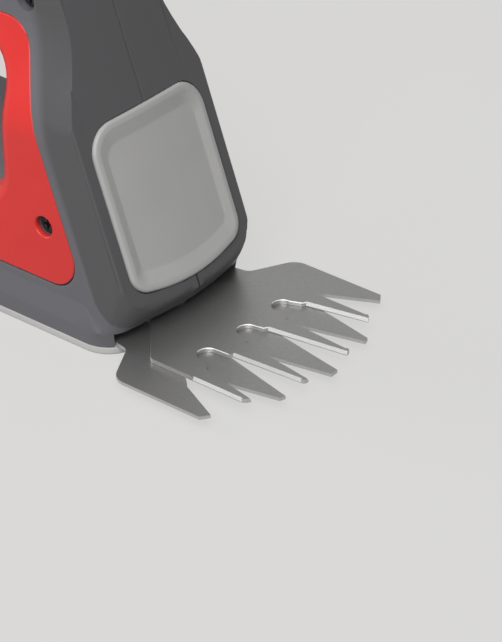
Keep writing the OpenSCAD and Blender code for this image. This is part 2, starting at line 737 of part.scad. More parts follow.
fixed_mid = tip(fixed_reach, 0, fixed_tip * 1.4);
fixed_side = tip(fixed_reach, tooth_pitch, fixed_tip);
wing_tip = [[blade_w / 2 - 2.6, wing_reach], [blade_w / 2, wing_reach - 1.8]];
neck_half = mouth_half - 0.5;
tail_half = hollow_half - 0.4;
fixed_tail = 14;
fixed_right = [fixed_mid[1], fixed_side[0], fixed_side[1], wing_tip[0], wing_tip[1],
  [blade_w / 2, wing_heel], [neck_half + 1.1, wing_heel - 6.9], [neck_half, -1.5], [tail_half, -5.5],
  [tail_half, -fixed_tail]];
fixed_right_radii = [0, 0, 0, 0.4, 0.4, 5.5, 3, 2, 2, 3];
// Gullets of the fixed blade beside its middle tooth and inside its wings
fixed_gullet_r = [1.9, 1.4];
fixed_gullets = [[8.9, 24.5], [26, 26.5]];

function blade_outline(right, radii) = rounded(concat(right, flipped(right)), concat(radii, reversed(radii)));
module both() {
  children();
  mirror([1, 0]) children();
}
// A blade drawn with its forward distance upwards lies flat with its teeth towards -Y
module laid(z, t) {
  translate([0, 0, z]) linear_extrude(t) mirror([0, 1]) children();
}

module fixed_blade() color(steel) {
  ground = [30.6, 29.6];
  laid(fixed_z, fixed_t) difference() {
    polygon(blade_outline(fixed_right, fixed_right_radii));
    both() {
      gullet(fixed_mid[1], fixed_side[0], [fixed_gullets[0].x - 2.6, grind_start], [fixed_gullets[0].x + 3, grind_start],
        fixed_gullets[0], fixed_gullet_r[0], 0.4);
      gullet(fixed_side[1], wing_tip[0], [fixed_gullets[1].x - 1.9, ground.y], ground,
        fixed_gullets[1], fixed_gullet_r[1], grind_step * 0.8);
    }
    circle(pivot_r + skim);
    for (p = blade_screw_places) translate([p.x, -p.y]) circle(screw_r + 0.15);
  }
}

moving_mid = tip(moving_reach, tooth_pitch / 2, moving_tip);
moving_side = tip(moving_reach, tooth_pitch * 1.5, moving_tip);
moving_half = moving_w / 2;
fork_end = crank_y + crank_throw + roller_r + 1.5;
fork_start = crank_y - roller_r - 1.2;
fork_out = fork_half + fork_wall;
// Least breadth between an outer tooth's tip and the blade's outer edge
tooth_margin = 0.5;
// Where a flank meets the blunt tip, on the middle teeth and on the outer ones
middle_shoulder = moving_mid[1] + [0.35, -1];
outer_shoulder = [max(moving_half, moving_side[1].x + tooth_margin), moving_side[1].y - 1.1];
moving_right = [moving_mid[0], moving_mid[1], middle_shoulder, moving_side[0], moving_side[1],
  outer_shoulder, [moving_half, moving_heel], [12.6, 1.4], [12, -1.5],
  [fork_out, -fork_start + 6], [fork_out, -fork_end]];
moving_right_radii = [0, 0, 0, 0, 0, 0, 2.5, 3, 3, 5, 2];
outer_ground = [moving_half + (outer_shoulder.x - moving_half) * (grind_start - moving_heel)
  / (outer_shoulder.y - moving_heel), grind_start];
side_gullet_x = 16.3;
// Where the ground flanks of the moving teeth start, on the two sides of the side gullet
middle_ground = [gullet_r + 1.6, grind_start];
side_ground_in = [side_gullet_x - gullet_r - 1.4, grind_start + 1];
side_ground_out = [side_gullet_x + gullet_r + 2.4, grind_start];

// A wedge that slants a flank from a to b, taking the blade's upper edge off
module flank_bevel(a, b) {
  run = b - a;
  rise = moving_t * 0.8;
  lead = 0.6;
  translate([a.x, a.y, 0]) rotate([0, 0, atan2(run.y, run.x)]) rotate([90, 0, 90])
    linear_extrude(norm(run)) polygon([[-lead, moving_t + lead],
      [grind_bevel * (1 + lead / rise), moving_t + lead], [0, moving_t - rise], [-lead, moving_t - rise]]);
}
module moving_blade() color(steel) {
  side_centre = [side_gullet_x, gullet_reach - 0.7];
  difference() {
    laid(moving_z, moving_t) difference() {
      polygon(blade_outline(moving_right, moving_right_radii));
      gullet([-moving_mid[0].x, moving_mid[0].y], moving_mid[0], [-middle_ground.x, middle_ground.y], middle_ground,
        [0, gullet_reach], gullet_r, grind_step);
      both()
        gullet(middle_shoulder, moving_side[0], side_ground_in, side_ground_out,
          side_centre, gullet_r, grind_step);
      circle(pivot_r + run_gap);
      translate([0, -fork_start - fork_half]) circle(fork_half);
      translate([-fork_half, -fork_end - 5]) square([2 * fork_half, fork_end + 5 - fork_start - fork_half]);
    }
    for (side = [0, 1])
      translate([0, 0, moving_z]) mirror([side, 0, 0]) mirror([0, 1, 0]) {
        flank_bevel(moving_mid[0], middle_ground);
        flank_bevel(side_ground_in, middle_shoulder);
        flank_bevel(moving_side[0], side_ground_out);
        flank_bevel(outer_ground, outer_shoulder);
      }
  }
}

module pivot_pin() color(steel) {
  rod_z(pivot_r, fixed_z - pivot_foot, pivot_head_z + skim, 0, 0);
  translate([0, 0, pivot_head_z]) cylinder(r1 = pivot_head_r, r2 = pivot_head_r - 0.5, h = pivot_head_t);
}
module pivot_washer() color(steel)
  difference() {
    rod_z(pivot_head_r + 0.1, washer_z, washer_z + washer_t, 0, 0);
    rod_z(pivot_r + run_gap, 0, far, 0, 0);
  }

// A screw that stands on the origin with its head up
module screw(l) {
  difference() {
    union() {
      translate([0, 0, -l]) cylinder(r = screw_r, h = l + skim);
      cylinder(r1 = head_r, r2 = head_r - 0.4, h = head_t);
    }
    for (a = [0, 90]) rotate([0, 0, a])
      translate([-head_r * 0.6, -0.4, head_t - 0.9]) cube([head_r * 1.2, 0.8, 2]);
  }
}
module blade_screws() color(steel)
  for (p = blade_screw_places) translate([p.x, p.y, fixed_z + fixed_t]) screw(fixed_t + 2.1);

module crank_wheel() color([0.85, 0.84, 0.78]) {
  top = wheel_z + wheel_t;
  gap_angle = 360 / crown_teeth;
  translate([0, crank_y, 0]) {
    rod_z(wheel_r, wheel_z, top, 0, 0);
    rod_z(hub_r, plate_z + run_gap, wheel_z + skim, 0, 0);
    rod_z(journal_r, top - skim, bridge_z + bridge_t - 0.2, 0, 0);
    rod_z(crank_pin_r, sole_t + 0.6, plate_z + run_gap + skim, 0, crank_throw);
    foot = crown_module * 0.95;
    crest = crown_module * 0.42;
    for (i = [0:crown_teeth - 1])
      rotate([0, 0, gap_angle * (i + 0.5)]) along_y([[-foot / 2, top - skim], [foot / 2, top - skim],
        [crest / 2, top + tooth_h], [-crest / 2, top + tooth_h]], crown_r - crown_face / 2, crown_r + crown_face / 2);
  }
}
module drive_bush() color([0.75, 0.6, 0.35])
  difference() {
    rod_z(roller_r, moving_z - 0.1, plate_z - 0.15, 0, crank_y + crank_throw);
    rod_z(crank_pin_r + skim, 0, far, 0, crank_y + crank_throw);
  }
module crank_bearing() color([0.7, 0.55, 0.3])
  difference() {
    rod_z(bearing_r, plate_z, plate_z + plate_t, 0, crank_y);
    rod_z(hub_r + run_gap, 0, far, 0, crank_y);
  }
plate_half = hollow_half - 0.3;
bulkhead_half = 13;
plate_corner = 4;
module gear_frame() color(black) {
  difference() {
    union() {
      along_z(rounded([[-plate_half, post_front_y - 4], [plate_half, post_front_y - 4],
        [plate_half, bulkhead_y - 1], [-plate_half, bulkhead_y - 1]],
        [plate_corner, plate_corner, 3, 3]), plate_z, plate_z + plate_t);
      block([-bulkhead_half, bulkhead_y - 2, plate_z], [bulkhead_half, bulkhead_y + bulkhead_t, plate_z + plate_t]);
      along_y(rounded([[-bulkhead_half, plate_z], [bulkhead_half, plate_z],
        [bulkhead_half, pinion_z + 11], [-bulkhead_half, pinion_z + 11]], [0, 0, 5, 5]),
        bulkhead_y, bulkhead_y + bulkhead_t);
      for (p = posts) rod_z(post_r, plate_z + plate_t - skim, bridge_z, p.x, p.y);
    }
    rod_z(bearing_r + skim, 0, far, 0, crank_y);
    rod_y(motor_boss_r + skim, bulkhead_y - 1, bulkhead_y + bulkhead_t + 1, 0, pinion_z);
    for (p = posts) rod_z(screw_r + skim, plate_z + 0.5, far, p.x, p.y);
  }
}
// Room that the bridge leaves the pinion, and how far its screws reach into the posts
pinion_room = 1;
screw_bite = 4;
bridge_corner = 3;
gear_screw_l = bridge_t + screw_bite;
module gear_bridge() color([0.5, 0.5, 0.52])
  difference() {
    along_z(rounded([for (p = [[-1, post_front_y], [1, post_front_y], [1, post_back_y], [-1, post_back_y]])
      [p.x * (post_x + post_r), p.y + (p.y < crank_y ? -post_r : post_r)]],
      [for (i = [1:4]) bridge_corner]), bridge_z, bridge_z + bridge_t);
    rod_z(journal_r + run_gap, 0, far, 0, crank_y);
    rod_y(pinion_r + crown_module + run_gap, pinion_y - pinion_room, far, 0, pinion_z);
    for (p = posts) rod_z(screw_r + 0.15, 0, far, p.x, p.y);
  }
module gear_screws() color(steel)
  for (p = posts) translate([p.x, p.y, bridge_z + bridge_t]) screw(gear_screw_l);

module motor() color([0.62, 0.63, 0.65])
  difference() {
    union() {
      rod_y(motor_r, motor_y, motor_y + motor_l, 0, pinion_z);
      rod_y(motor_boss_r, bulkhead_y + 0.3, motor_y + skim, 0, pinion_z);
    }
    rod_y(shaft_r + run_gap, 0, motor_y + motor_l - 6, 0, pinion_z);
  }
module motor_end_cap() color(black) {
  rod_y(motor_r - 1, motor_y + motor_l, motor_y + motor_l + motor_cap_l, 0, pinion_z);
  for (x = [-5, 5])
    block([x - 1.2, motor_y + motor_l + motor_cap_l - skim, pinion_z - 0.3],
      [x + 1.2, motor_y + motor_l + motor_cap_l + 2.2, pinion_z + 0.3]);
}
module motor_shaft() color(steel) rod_y(shaft_r, pinion_y - 0.6, motor_y + motor_l - 7, 0, pinion_z);

// Spur teeth as trapezoids with rounded-off crests
module pinion_outline() {
  root = pinion_r - crown_module * 1.75;
  crest = pinion_r + crown_module * 0.85;
  step = 360 / pinion_teeth;
  polygon([for (i = [0:pinion_teeth - 1], k = [[-0.32, root], [-0.18, pinion_r], [-0.09, crest], [0.09, crest],
    [0.18, pinion_r], [0.32, root]]) k[1] * [sin(step * (i + k[0])), -cos(step * (i + k[0]))]]);
}
module motor_pinion() color([0.75, 0.6, 0.35])
  difference() {
    translate([0, pinion_y + crown_face + 0.3, pinion_z]) rotate([90, 0, 0]) linear_extrude(crown_face + 0.6)
      pinion_outline();
    rod_y(shaft_r + skim, 0, far, 0, pinion_z);
  }

module battery_cell() color([0.2, 0.35, 0.6]) {
  rod_y(cell_r, cell_y, cell_back, 0, cell_z);
  rod_y(3.2, cell_y - 0.8, cell_y + skim, 0, cell_z);
}
module cell_tabs() color([0.8, 0.8, 0.78]) {
  for (y = [cell_y - 1.1, cell_back])
    block([-3.5, y, cell_z - 4], [3.5, y + 0.3, cell_z + cell_r + 2.5]);
}
socket_half = 4.6;
plug_l = 10;
socket_nose_r = 4.4;
module circuit_board() color([0.1, 0.4, 0.2]) {
  block([-board_half, board_y, board_low], [board_half, board_y + board_t, board_high]);
  for (p = [[-7, 12, 5], [5, 20, 4], [-4, 33, 7]])
    block([p.x - p.z / 2, board_y - 1.6, board_low + p.y - 2.5], [p.x + p.z / 2, board_y + skim, board_low + p.y + 2.5]);
}
module charge_socket() color(black)
  difference() {
    union() {
      block([-socket_half, board_y + board_t, socket_z - socket_half],
        [socket_half, body_l - wall - 0.3, socket_z + socket_half]);
      rod_y(socket_nose_r, body_l - wall - 0.3 - skim, body_l - 0.4, 0, socket_z);
    }
    rod_y(plug_r, body_l - plug_l, body_l + 1, 0, socket_z);
  }
module status_lens() color([0.8, 0.9, 0.8]) {
  rod_y(lens_r, board_y + board_t + 0.1, body_l + 0.4, 0, lens_z);
  rod_y(lens_r + 1, board_y + board_t + 0.1, board_y + board_t + 2.5, 0, lens_z);
}

// The finger pad hangs on an arm from the hub and swings up into the handle
module trigger() color(black) {
  low = opening_high - trigger_drop;
  difference() {
    union() {
      along_x(rounded([[trigger_y - 2, low + 1.5], [trigger_end, low], [trigger_end, trigger_top],
        [trigger_y - 2.6, trigger_top]], [4, 3, 1.5, 2]), -trigger_w / 2, trigger_w / 2);
      along_x([[trigger_y - 2.6, trigger_top - 2], [trigger_y + 4, trigger_top - 2],
        [trigger_y + trigger_hub_r * 0.9, trigger_z], [trigger_y - trigger_hub_r * 0.9, trigger_z]],
        -trigger_w / 2 + 1, trigger_w / 2 - 1);
      rod_x(trigger_hub_r, -trigger_w / 2 + 1, trigger_w / 2 - 1, trigger_y, trigger_z);
      // Nub that meets the switch
      block([-1.2, switch_y + 3.2, trigger_top - 1], [1.2, switch_y + 5.3, trigger_z - 2.05]);
    }
    rod_x(trigger_pin_r + run_gap, -far, far, trigger_y, trigger_z);
    // Hollow of the finger rest
    rod_x(26, -far, far, (trigger_y + trigger_end) / 2, low - 24.4);
  }
}
module trigger_pin() color(steel)
  rod_x(trigger_pin_r, -trigger_w / 2 - 3.8, trigger_w / 2 + 3.8, trigger_y, trigger_z);

// A coil spring from z0 to z1 as one tube wound round the vertical line through (x, y)
module coil_spring(x, y, z0, z1, r) {
  sides = 6;
  rings = 8 * spring_curls;
  half = spring_wire / 2;
  pitch = (z1 - z0 - spring_wire) / spring_curls;
  climb = atan(pitch / (2 * PI * r));
  points = [for (i = [0:rings], k = [0:sides - 1])
    let (a = 45 * i, b = 360 * k / sides, d = r + half * cos(b))
    [x + d * cos(a) + half * sin(b) * sin(climb) * sin(a),
     y + d * sin(a) - half * sin(b) * sin(climb) * cos(a),
     z0 + half + pitch * i / 8 + half * sin(b) * cos(climb)]];
  side_faces = [for (i = [0:rings - 1], k = [0:sides - 1])
    let (p = i * sides + k, q = i * sides + (k + 1) % sides)
    each [[p, q, q + sides], [p, q + sides, p + sides]]];
  first = [for (k = [1:sides - 2]) [0, k + 1, k]];
  last = [for (k = [1:sides - 2]) [rings * sides, rings * sides + k, rings * sides + k + 1]];
  echo(least_gap_between_curls = pitch * cos(climb) - spring_wire);
  polyhedron(points, concat(side_faces, first, last));
}
module trigger_spring() color(steel)
  coil_spring(0, trigger_spring_y, trigger_top + 0.1, shelf_z - 0.1, spring_r);
module lock_spring() color(steel)
  coil_spring(0, lock_y, shelf_z + shelf_t + 0.1, flange_z - 0.1, spring_r);

module micro_switch() color(black) {
  block([-switch_w / 2, switch_y, shelf_z - switch_h], [switch_w / 2, switch_y + switch_l, shelf_z]);
  block([-1.5, switch_y + 3, shelf_z - switch_h - 1.4], [1.5, switch_y + 5.5, shelf_z - switch_h + skim]);
}

module lock_button() color(panel_red) {
  crown_r = 22;
  intersection() {
    along_z(rounded([[-lock_w / 2, lock_y - lock_l / 2], [lock_w / 2, lock_y - lock_l / 2],
      [lock_w / 2, lock_y + lock_l / 2], [-lock_w / 2, lock_y + lock_l / 2]], [3, 3, 3, 3]),
      flange_z, handle_top + lock_h);
    rod_x(crown_r, -far, far, lock_y, handle_top + lock_h - crown_r);
  }
  along_z(rounded([for (s = [[-1, -1], [1, -1], [1, 1], [-1, 1]])
    [s.x * (lock_w / 2 + flange), lock_y + s.y * (lock_l / 2 + flange)]], [3, 3, 3, 3]), flange_z, flange_z + flange_t);
  rod_z(stem_r, shelf_z - 0.6, flange_z + skim, 0, lock_y);
}

module housing_screws() color(black)
  for (p = housing_screw_places)
    let (face = half_w(p.y) - screw_sink)
    translate([-face + head_t, p.x, p.y]) rotate([0, -90, 0]) screw(2 * face - head_t - 5);
module sole_screws() color(steel)
  for (p = sole_screw_places)
    translate([p.x, p.y, head_t * 0.75]) mirror([0, 0, 1]) screw(sole_screw_l - 2);

housing_right();
housing_left();
side_panel_right();
side_panel_left();
front_panel();
sole_plate();
grip_saddle();
fixed_blade();
moving_blade();
pivot_pin();
pivot_washer();
blade_screws();
crank_wheel();
drive_bush();
crank_bearing();
gear_frame();
gear_bridge();
gear_screws();
motor();
motor_end_cap();
motor_shaft();
motor_pinion();
battery_cell();
cell_tabs();
circuit_board();
charge_socket();
status_lens();
trigger();
trigger_pin();
trigger_spring();
micro_switch();
lock_button();
lock_spring();
housing_screws();
sole_screws();
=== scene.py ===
"""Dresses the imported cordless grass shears: rounded shells, ground blades, moulded finishes and a pale studio.

Lengths are metres in the part's own frame: the blade pivot's axis meets the ground at the origin, -Y is ahead
along the teeth and +Z is up.
"""

from __future__ import annotations

import json
import logging
import math
from dataclasses import dataclass, field
from enum import Enum
from functools import partial
from typing import Callable

import bpy
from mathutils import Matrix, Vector

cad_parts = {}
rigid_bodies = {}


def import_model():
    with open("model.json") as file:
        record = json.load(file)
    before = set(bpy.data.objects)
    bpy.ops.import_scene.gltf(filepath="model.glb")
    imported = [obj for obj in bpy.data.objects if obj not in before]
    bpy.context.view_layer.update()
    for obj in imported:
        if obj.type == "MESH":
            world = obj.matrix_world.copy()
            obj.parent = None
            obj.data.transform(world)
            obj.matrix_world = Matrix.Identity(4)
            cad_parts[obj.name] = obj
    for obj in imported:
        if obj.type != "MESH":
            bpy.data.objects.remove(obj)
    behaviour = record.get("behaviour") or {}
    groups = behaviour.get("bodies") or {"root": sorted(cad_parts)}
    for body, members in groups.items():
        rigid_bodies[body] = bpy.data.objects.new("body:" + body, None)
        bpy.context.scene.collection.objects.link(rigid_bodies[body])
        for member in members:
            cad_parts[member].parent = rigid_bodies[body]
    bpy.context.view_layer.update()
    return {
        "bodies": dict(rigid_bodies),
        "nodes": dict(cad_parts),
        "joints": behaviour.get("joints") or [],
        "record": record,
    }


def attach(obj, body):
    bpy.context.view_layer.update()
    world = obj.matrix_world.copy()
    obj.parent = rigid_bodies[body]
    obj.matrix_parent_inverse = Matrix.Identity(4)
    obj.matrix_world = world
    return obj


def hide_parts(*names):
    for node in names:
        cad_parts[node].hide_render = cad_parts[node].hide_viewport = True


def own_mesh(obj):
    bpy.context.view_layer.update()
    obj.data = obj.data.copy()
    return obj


LOG = logging.getLogger("grass_shears")
MM = 0.001
Colour = tuple[float, float, float]
EdgeTest = Callable[[Vector, Vector, Vector], bool]
FaceTest = Callable[[bpy.types.MeshPolygon], bool]
MERGE = 0.02 * MM
FRONT_COS = 0.936
FRONT_SIN = 0.352


class Grain(Enum):
    """How a moulded surface is finished by its mould, as (bump size in metres, bump depth in metres)."""

    FINE = (0.00035, 0.000012)
    SATIN = (0.0006, 0.000006)
    SOFT = (0.0009, 0.00004)
    SLEEK = (0.0012, 0.000002)


class Brushing(Enum):
    """Which way a metal surface was brushed, as the stretch of its marks along X, Y and Z."""

    ACROSS = (1.0, 16.0, 16.0)
    ALONG = (16.0, 1.0, 16.0)
    UPRIGHT = (14.0, 14.0, 1.0)
    EVEN = (5.0, 5.0, 5.0)


class NodeSketch:
    """A small helper that adds shader nodes to one material and links them."""

    def __init__(self, name: str) -> None:
        """Starts a material with only a Principled shader and its output.

        Args:
            name: The material's name.
        """
        self.material = bpy.data.materials.new(name)
        self.material.use_nodes = True
        self.tree = self.material.node_tree
        self.shader = self.tree.nodes["Principled BSDF"]

    def add(self, kind: str, **settings: object) -> bpy.types.Node:
        """Adds a node.

        Args:
            kind: The node's type name.
            **settings: Attributes to set on the node.

        Returns:
            The new node.
        """
        node = self.tree.nodes.new(kind)
        for key, value in settings.items():
            setattr(node, key, value)
        return node

    def link(self, start: bpy.types.NodeSocket, end: bpy.types.NodeSocket) -> None:
        """Links two sockets."""
        self.tree.links.new(start, end)

    def noise(self, size: float, detail: float, stretch: Colour = (1.0, 1.0, 1.0),
              rough: float = 0.5) -> bpy.types.NodeSocket:
        """Adds noise on object coordinates.

        Args:
            size: Rough distance between features, in metres.
            detail: Octaves of finer noise.
            stretch: Scale along each axis before the noise.
            rough: Share that each finer octave keeps.

        Returns:
            The noise's grey output, about 0 to 1.
        """
        place = self.add("ShaderNodeTexCoord")
        turn = self.add("ShaderNodeMapping")
        turn.inputs["Scale"].default_value = stretch
        texture = self.add("ShaderNodeTexNoise")
        texture.inputs["Scale"].default_value = 1.0 / size
        texture.inputs["Detail"].default_value = detail
        texture.inputs["Roughness"].default_value = rough
        self.link(place.outputs["Object"], turn.inputs["Vector"])
        self.link(turn.outputs["Vector"], texture.inputs["Vector"])
        return texture.outputs["Fac"]

    def spread(self, grey: bpy.types.NodeSocket, low: float, high: float,
               start: float = 0.3, end: float = 0.7) -> bpy.types.NodeSocket:
        """Maps a grey value onto a range.

        Args:
            grey: The value to map.
            low: Result at start.
            high: Result at end.
            start: Grey that gives low.
            end: Grey that gives high.

        Returns:
            The mapped value.
        """
        node = self.add("ShaderNodeMapRange")
        for key, value in (("From Min", start), ("From Max", end), ("To Min", low), ("To Max", high)):
            node.inputs[key].default_value = value
        self.link(grey, node.inputs["Value"])
        return node.outputs["Result"]

    def mix(self, share: bpy.types.NodeSocket, first: Colour, second: Colour) -> bpy.types.NodeSocket:
        """Mixes two colours.

        Args:
            share: Share of the second colour.
            first: Colour at 0.
            second: Colour at 1.

        Returns:
            The mixed colour.
        """
        node = self.add("ShaderNodeMix", data_type="RGBA")
        node.inputs["A"].default_value = (*first, 1.0)
        node.inputs["B"].default_value = (*second, 1.0)
        self.link(share, node.inputs["Factor"])
        return next(s for s in node.outputs if s.type == "RGBA")

    def sum(self, value: bpy.types.NodeSocket, factor: float,
            rest: bpy.types.NodeSocket | float) -> bpy.types.NodeSocket:
        """Multiplies a value and adds another value or a constant.

        Args:
            value: The value.
            factor: What it is multiplied by.
            rest: What is added.

        Returns:
            The result's socket.
        """
        step = self.add("ShaderNodeMath", operation="MULTIPLY_ADD")
        self.link(value, step.inputs[0])
        step.inputs[1].default_value = factor
        if isinstance(rest, float):
            step.inputs[2].default_value = rest
        else:
            self.link(rest, step.inputs[2])
        return step.outputs["Value"]

    def colour(self, share: bpy.types.NodeSocket, first: Colour, second: Colour) -> None:
        """Gives the shader a mix of two colours."""
        self.link(self.mix(share, first, second), self.shader.inputs["Base Color"])

    def gloss(self, grey: bpy.types.NodeSocket, low: float, high: float) -> None:
        """Gives the shader a roughness between two values."""
        self.link(self.spread(grey, low, high), self.shader.inputs["Roughness"])

    def bump(self, height: bpy.types.NodeSocket, depth: float) -> None:
        """Gives the shader a bump of a depth in metres."""
        node = self.add("ShaderNodeBump")
        node.inputs["Distance"].default_value = depth
        node.inputs["Strength"].default_value = 1.0
        self.link(height, node.inputs["Height"])
        self.link(node.outputs["Normal"], self.shader.inputs["Normal"])


def shade(colour: Colour, factor: float) -> Colour:
    """A colour made lighter or darker by a factor."""
    return (min(colour[0] * factor, 1.0), min(colour[1] * factor, 1.0), min(colour[2] * factor, 1.0))


@dataclass(frozen=True)
class Moulding:
    """A moulded plastic or rubber finish."""

    name: str
    colour: Colour
    roughness: float
    grain: Grain
    drift: float = 0.05
    gloss: float = 0.4
    wear: float = 0.06

    def tint(self, sketch: NodeSketch) -> None:
        """Gives a sketch the plastic's colour with a faint drift."""
        drift = sketch.spread(sketch.noise(0.03, 3.0), 0.0, 1.0)
        sketch.colour(drift, shade(self.colour, 1 - self.drift), shade(self.colour, 1 + self.drift))

    def build(self) -> bpy.types.Material:
        """Builds the material.

        Returns:
            A material with mould grain, its colour and uneven gloss.
        """
        sketch = NodeSketch(self.name)
        self.tint(sketch)
        sketch.gloss(sketch.noise(0.012, 4.0), self.roughness - self.wear, self.roughness + self.wear)
        size, depth = self.grain.value
        sketch.bump(sketch.noise(size, 2.0), depth)
        sketch.shader.inputs["Specular IOR Level"].default_value = self.gloss
        return sketch.material


@dataclass(frozen=True)
class ShellMouldingWithPaintedShade(Moulding):
    """The housing's finish with painted shade: a darker grey painted over the front surround, ending along the side
    crease, stands in for the shade on the front corner band, bezel and chin.
    """

    # Painted shade: the darker grey of the front surround, in place of the shade its corner band and chin fall in.
    front: Colour = (0.066, 0.066, 0.069)
    front_foot: float = 11.7 * MM
    crease: float = 10.6 * MM
    sweep: float = 8.0 * MM
    sweep_top: float = 17 * MM
    sweep_low: float = 6 * MM

    def tint(self, sketch: NodeSketch) -> None:
        """Gives a sketch two greys, divided softly behind the leaning front; the darker grey in front of the crease is
        painted shade.

        Args:
            sketch: The material being drawn.
        """
        place = sketch.add("ShaderNodeSeparateXYZ")
        sketch.link(sketch.add("ShaderNodeTexCoord").outputs["Object"], place.inputs[0])
        behind = sketch.sum(place.outputs["Y"], FRONT_COS, sketch.sum(place.outputs["Z"], -FRONT_SIN, self.front_foot))
        low = sketch.add("ShaderNodeMapRange")
        low.inputs["From Min"].default_value = self.sweep_top
        low.inputs["From Max"].default_value = self.sweep_low
        sketch.link(place.outputs["Z"], low.inputs["Value"])
        curve = sketch.add("ShaderNodeMath", operation="POWER")
        curve.inputs[1].default_value = 2.0
        sketch.link(low.outputs["Result"], curve.inputs[0])
        past = sketch.sum(curve.outputs["Value"], self.sweep, behind)
        # The painted shade's edge grows softer with height, like the shading over a rounded crease.
        softness = sketch.sum(place.outputs["Z"], 0.05, 0.3 * MM)
        share = sketch.add("ShaderNodeMath", operation="DIVIDE")
        sketch.link(sketch.sum(past, 1.0, -self.crease), share.inputs[0])
        sketch.link(softness, share.inputs[1])
        soft = sketch.add("ShaderNodeMapRange", interpolation_type="SMOOTHSTEP")
        soft.inputs["From Min"].default_value = -0.5
        soft.inputs["From Max"].default_value = 0.5
        sketch.link(share.outputs["Value"], soft.inputs["Value"])
        # Painted shade in front of the crease, the shell's own grey behind it.
        sketch.colour(soft.outputs["Result"], self.front, self.colour)


@dataclass(frozen=True)
class BrushedMetal:
    """A metal finish with fine marks from brushing, turning or grinding."""

    name: str
    colour: Colour
    roughness: float
    brushing: Brushing
    mark: float = 0.0016
    contrast: float = 0.18
    depth: float = 0.000004
    metal: float = 1.0
    wear: float = 0.07

    def build(self) -> bpy.types.Material:
        """Builds the material.

        Returns:
            A metal whose colour, gloss and bump follow its stretched marks.
        """
        sketch = NodeSketch(self.name)
        marks = sketch.noise(self.mark, 5.0, self.brushing.value, 0.65)
        tone = sketch.sum(sketch.noise(0.02, 3.0), 0.35, sketch.spread(marks, 0.0, 0.65, 0.25, 0.75))
        sketch.colour(tone, shade(self.colour, 1 - self.contrast), shade(self.colour, 1 + self.contrast))
        sketch.gloss(marks, self.roughness + self.wear, self.roughness - self.wear)
        sketch.bump(marks, self.depth)
        sketch.shader.inputs["Metallic"].default_value = self.metal
        return sketch.material


@dataclass(frozen=True)
class LightPipe:
    """A clear plastic light pipe."""

    name: str
    colour: Colour

    def build(self) -> bpy.types.Material:
        """Builds the material.

        Returns:
            A clear, slightly frosted plastic.
        """
        sketch = NodeSketch(self.name)
        frost = sketch.noise(0.0008, 2.0)
        sketch.gloss(frost, 0.12, 0.3)
        sketch.colour(frost, self.colour, shade(self.colour, 0.9))
        sketch.shader.inputs["Transmission Weight"].default_value = 0.7
        return sketch.material


Finish = Moulding | BrushedMetal | LightPipe


@dataclass(frozen=True)
class FinishBook:
    """The finishes of all the material slots, each with the slot's own name."""

    finishes: tuple[Finish, ...] = (
        # The housing's own grey, with painted shade over its front surround.
        ShellMouldingWithPaintedShade("dark_shell", (0.1, 0.1, 0.11), 0.46, Grain.FINE, 0.04, 0.35),
        Moulding("red_panel", (0.52, 0.023, 0.02), 0.42, Grain.SATIN, 0.04),
        Moulding("light_panel", (0.3, 0.298, 0.294), 0.5, Grain.SATIN, 0.03, 0.35),
        Moulding("pale_sole", (0.4, 0.398, 0.392), 0.5, Grain.SATIN, 0.03),
        Moulding("soft_grip", (0.022, 0.022, 0.024), 0.7, Grain.SOFT, 0.08, 0.25),
        BrushedMetal("blade_steel", (0.315, 0.312, 0.308), 0.38, Brushing.ALONG, 0.0022, 0.2, 0.000006, 0.87),
        BrushedMetal("ground_edge", (0.6, 0.6, 0.592), 0.45, Brushing.ALONG, 0.0006, 0.3, 0.00003, 0.4),
        BrushedMetal("sheared_edge", (0.46, 0.457, 0.452), 0.4, Brushing.UPRIGHT, 0.0009, 0.25, 0.00001, 0.7),
        BrushedMetal("bright_steel", (0.55, 0.56, 0.57), 0.3, Brushing.EVEN),
        Moulding("gear_nylon", (0.72, 0.7, 0.62), 0.45, Grain.SLEEK),
        BrushedMetal("bronze", (0.62, 0.43, 0.2), 0.34, Brushing.EVEN),
        Moulding("black_plastic", (0.028, 0.028, 0.031), 0.5, Grain.SATIN, 0.08),
        BrushedMetal("pressed_aluminium", (0.6, 0.61, 0.62), 0.4, Brushing.ACROSS),
        BrushedMetal("motor_can", (0.5, 0.51, 0.52), 0.36, Brushing.ALONG),
        Moulding("cell_can", (0.05, 0.13, 0.34), 0.3, Grain.SLEEK, 0.03, 0.5),
        Moulding("board_green", (0.02, 0.13, 0.06), 0.32, Grain.SATIN, 0.15, 0.5),
        LightPipe("clear_lens", (0.8, 0.88, 0.8)),
        Moulding("red_button", (0.6, 0.034, 0.03), 0.4, Grain.SATIN, 0.04),
        BrushedMetal("dark_screw", (0.045, 0.045, 0.048), 0.45, Brushing.EVEN, 0.0012, 0.2, 0.000004, 0.8),
    )

    def build(self) -> dict[str, bpy.types.Material]:
        """Builds every finish.

        Returns:
            Materials by slot name.
        """
        return {finish.name: finish.build() for finish in self.finishes}


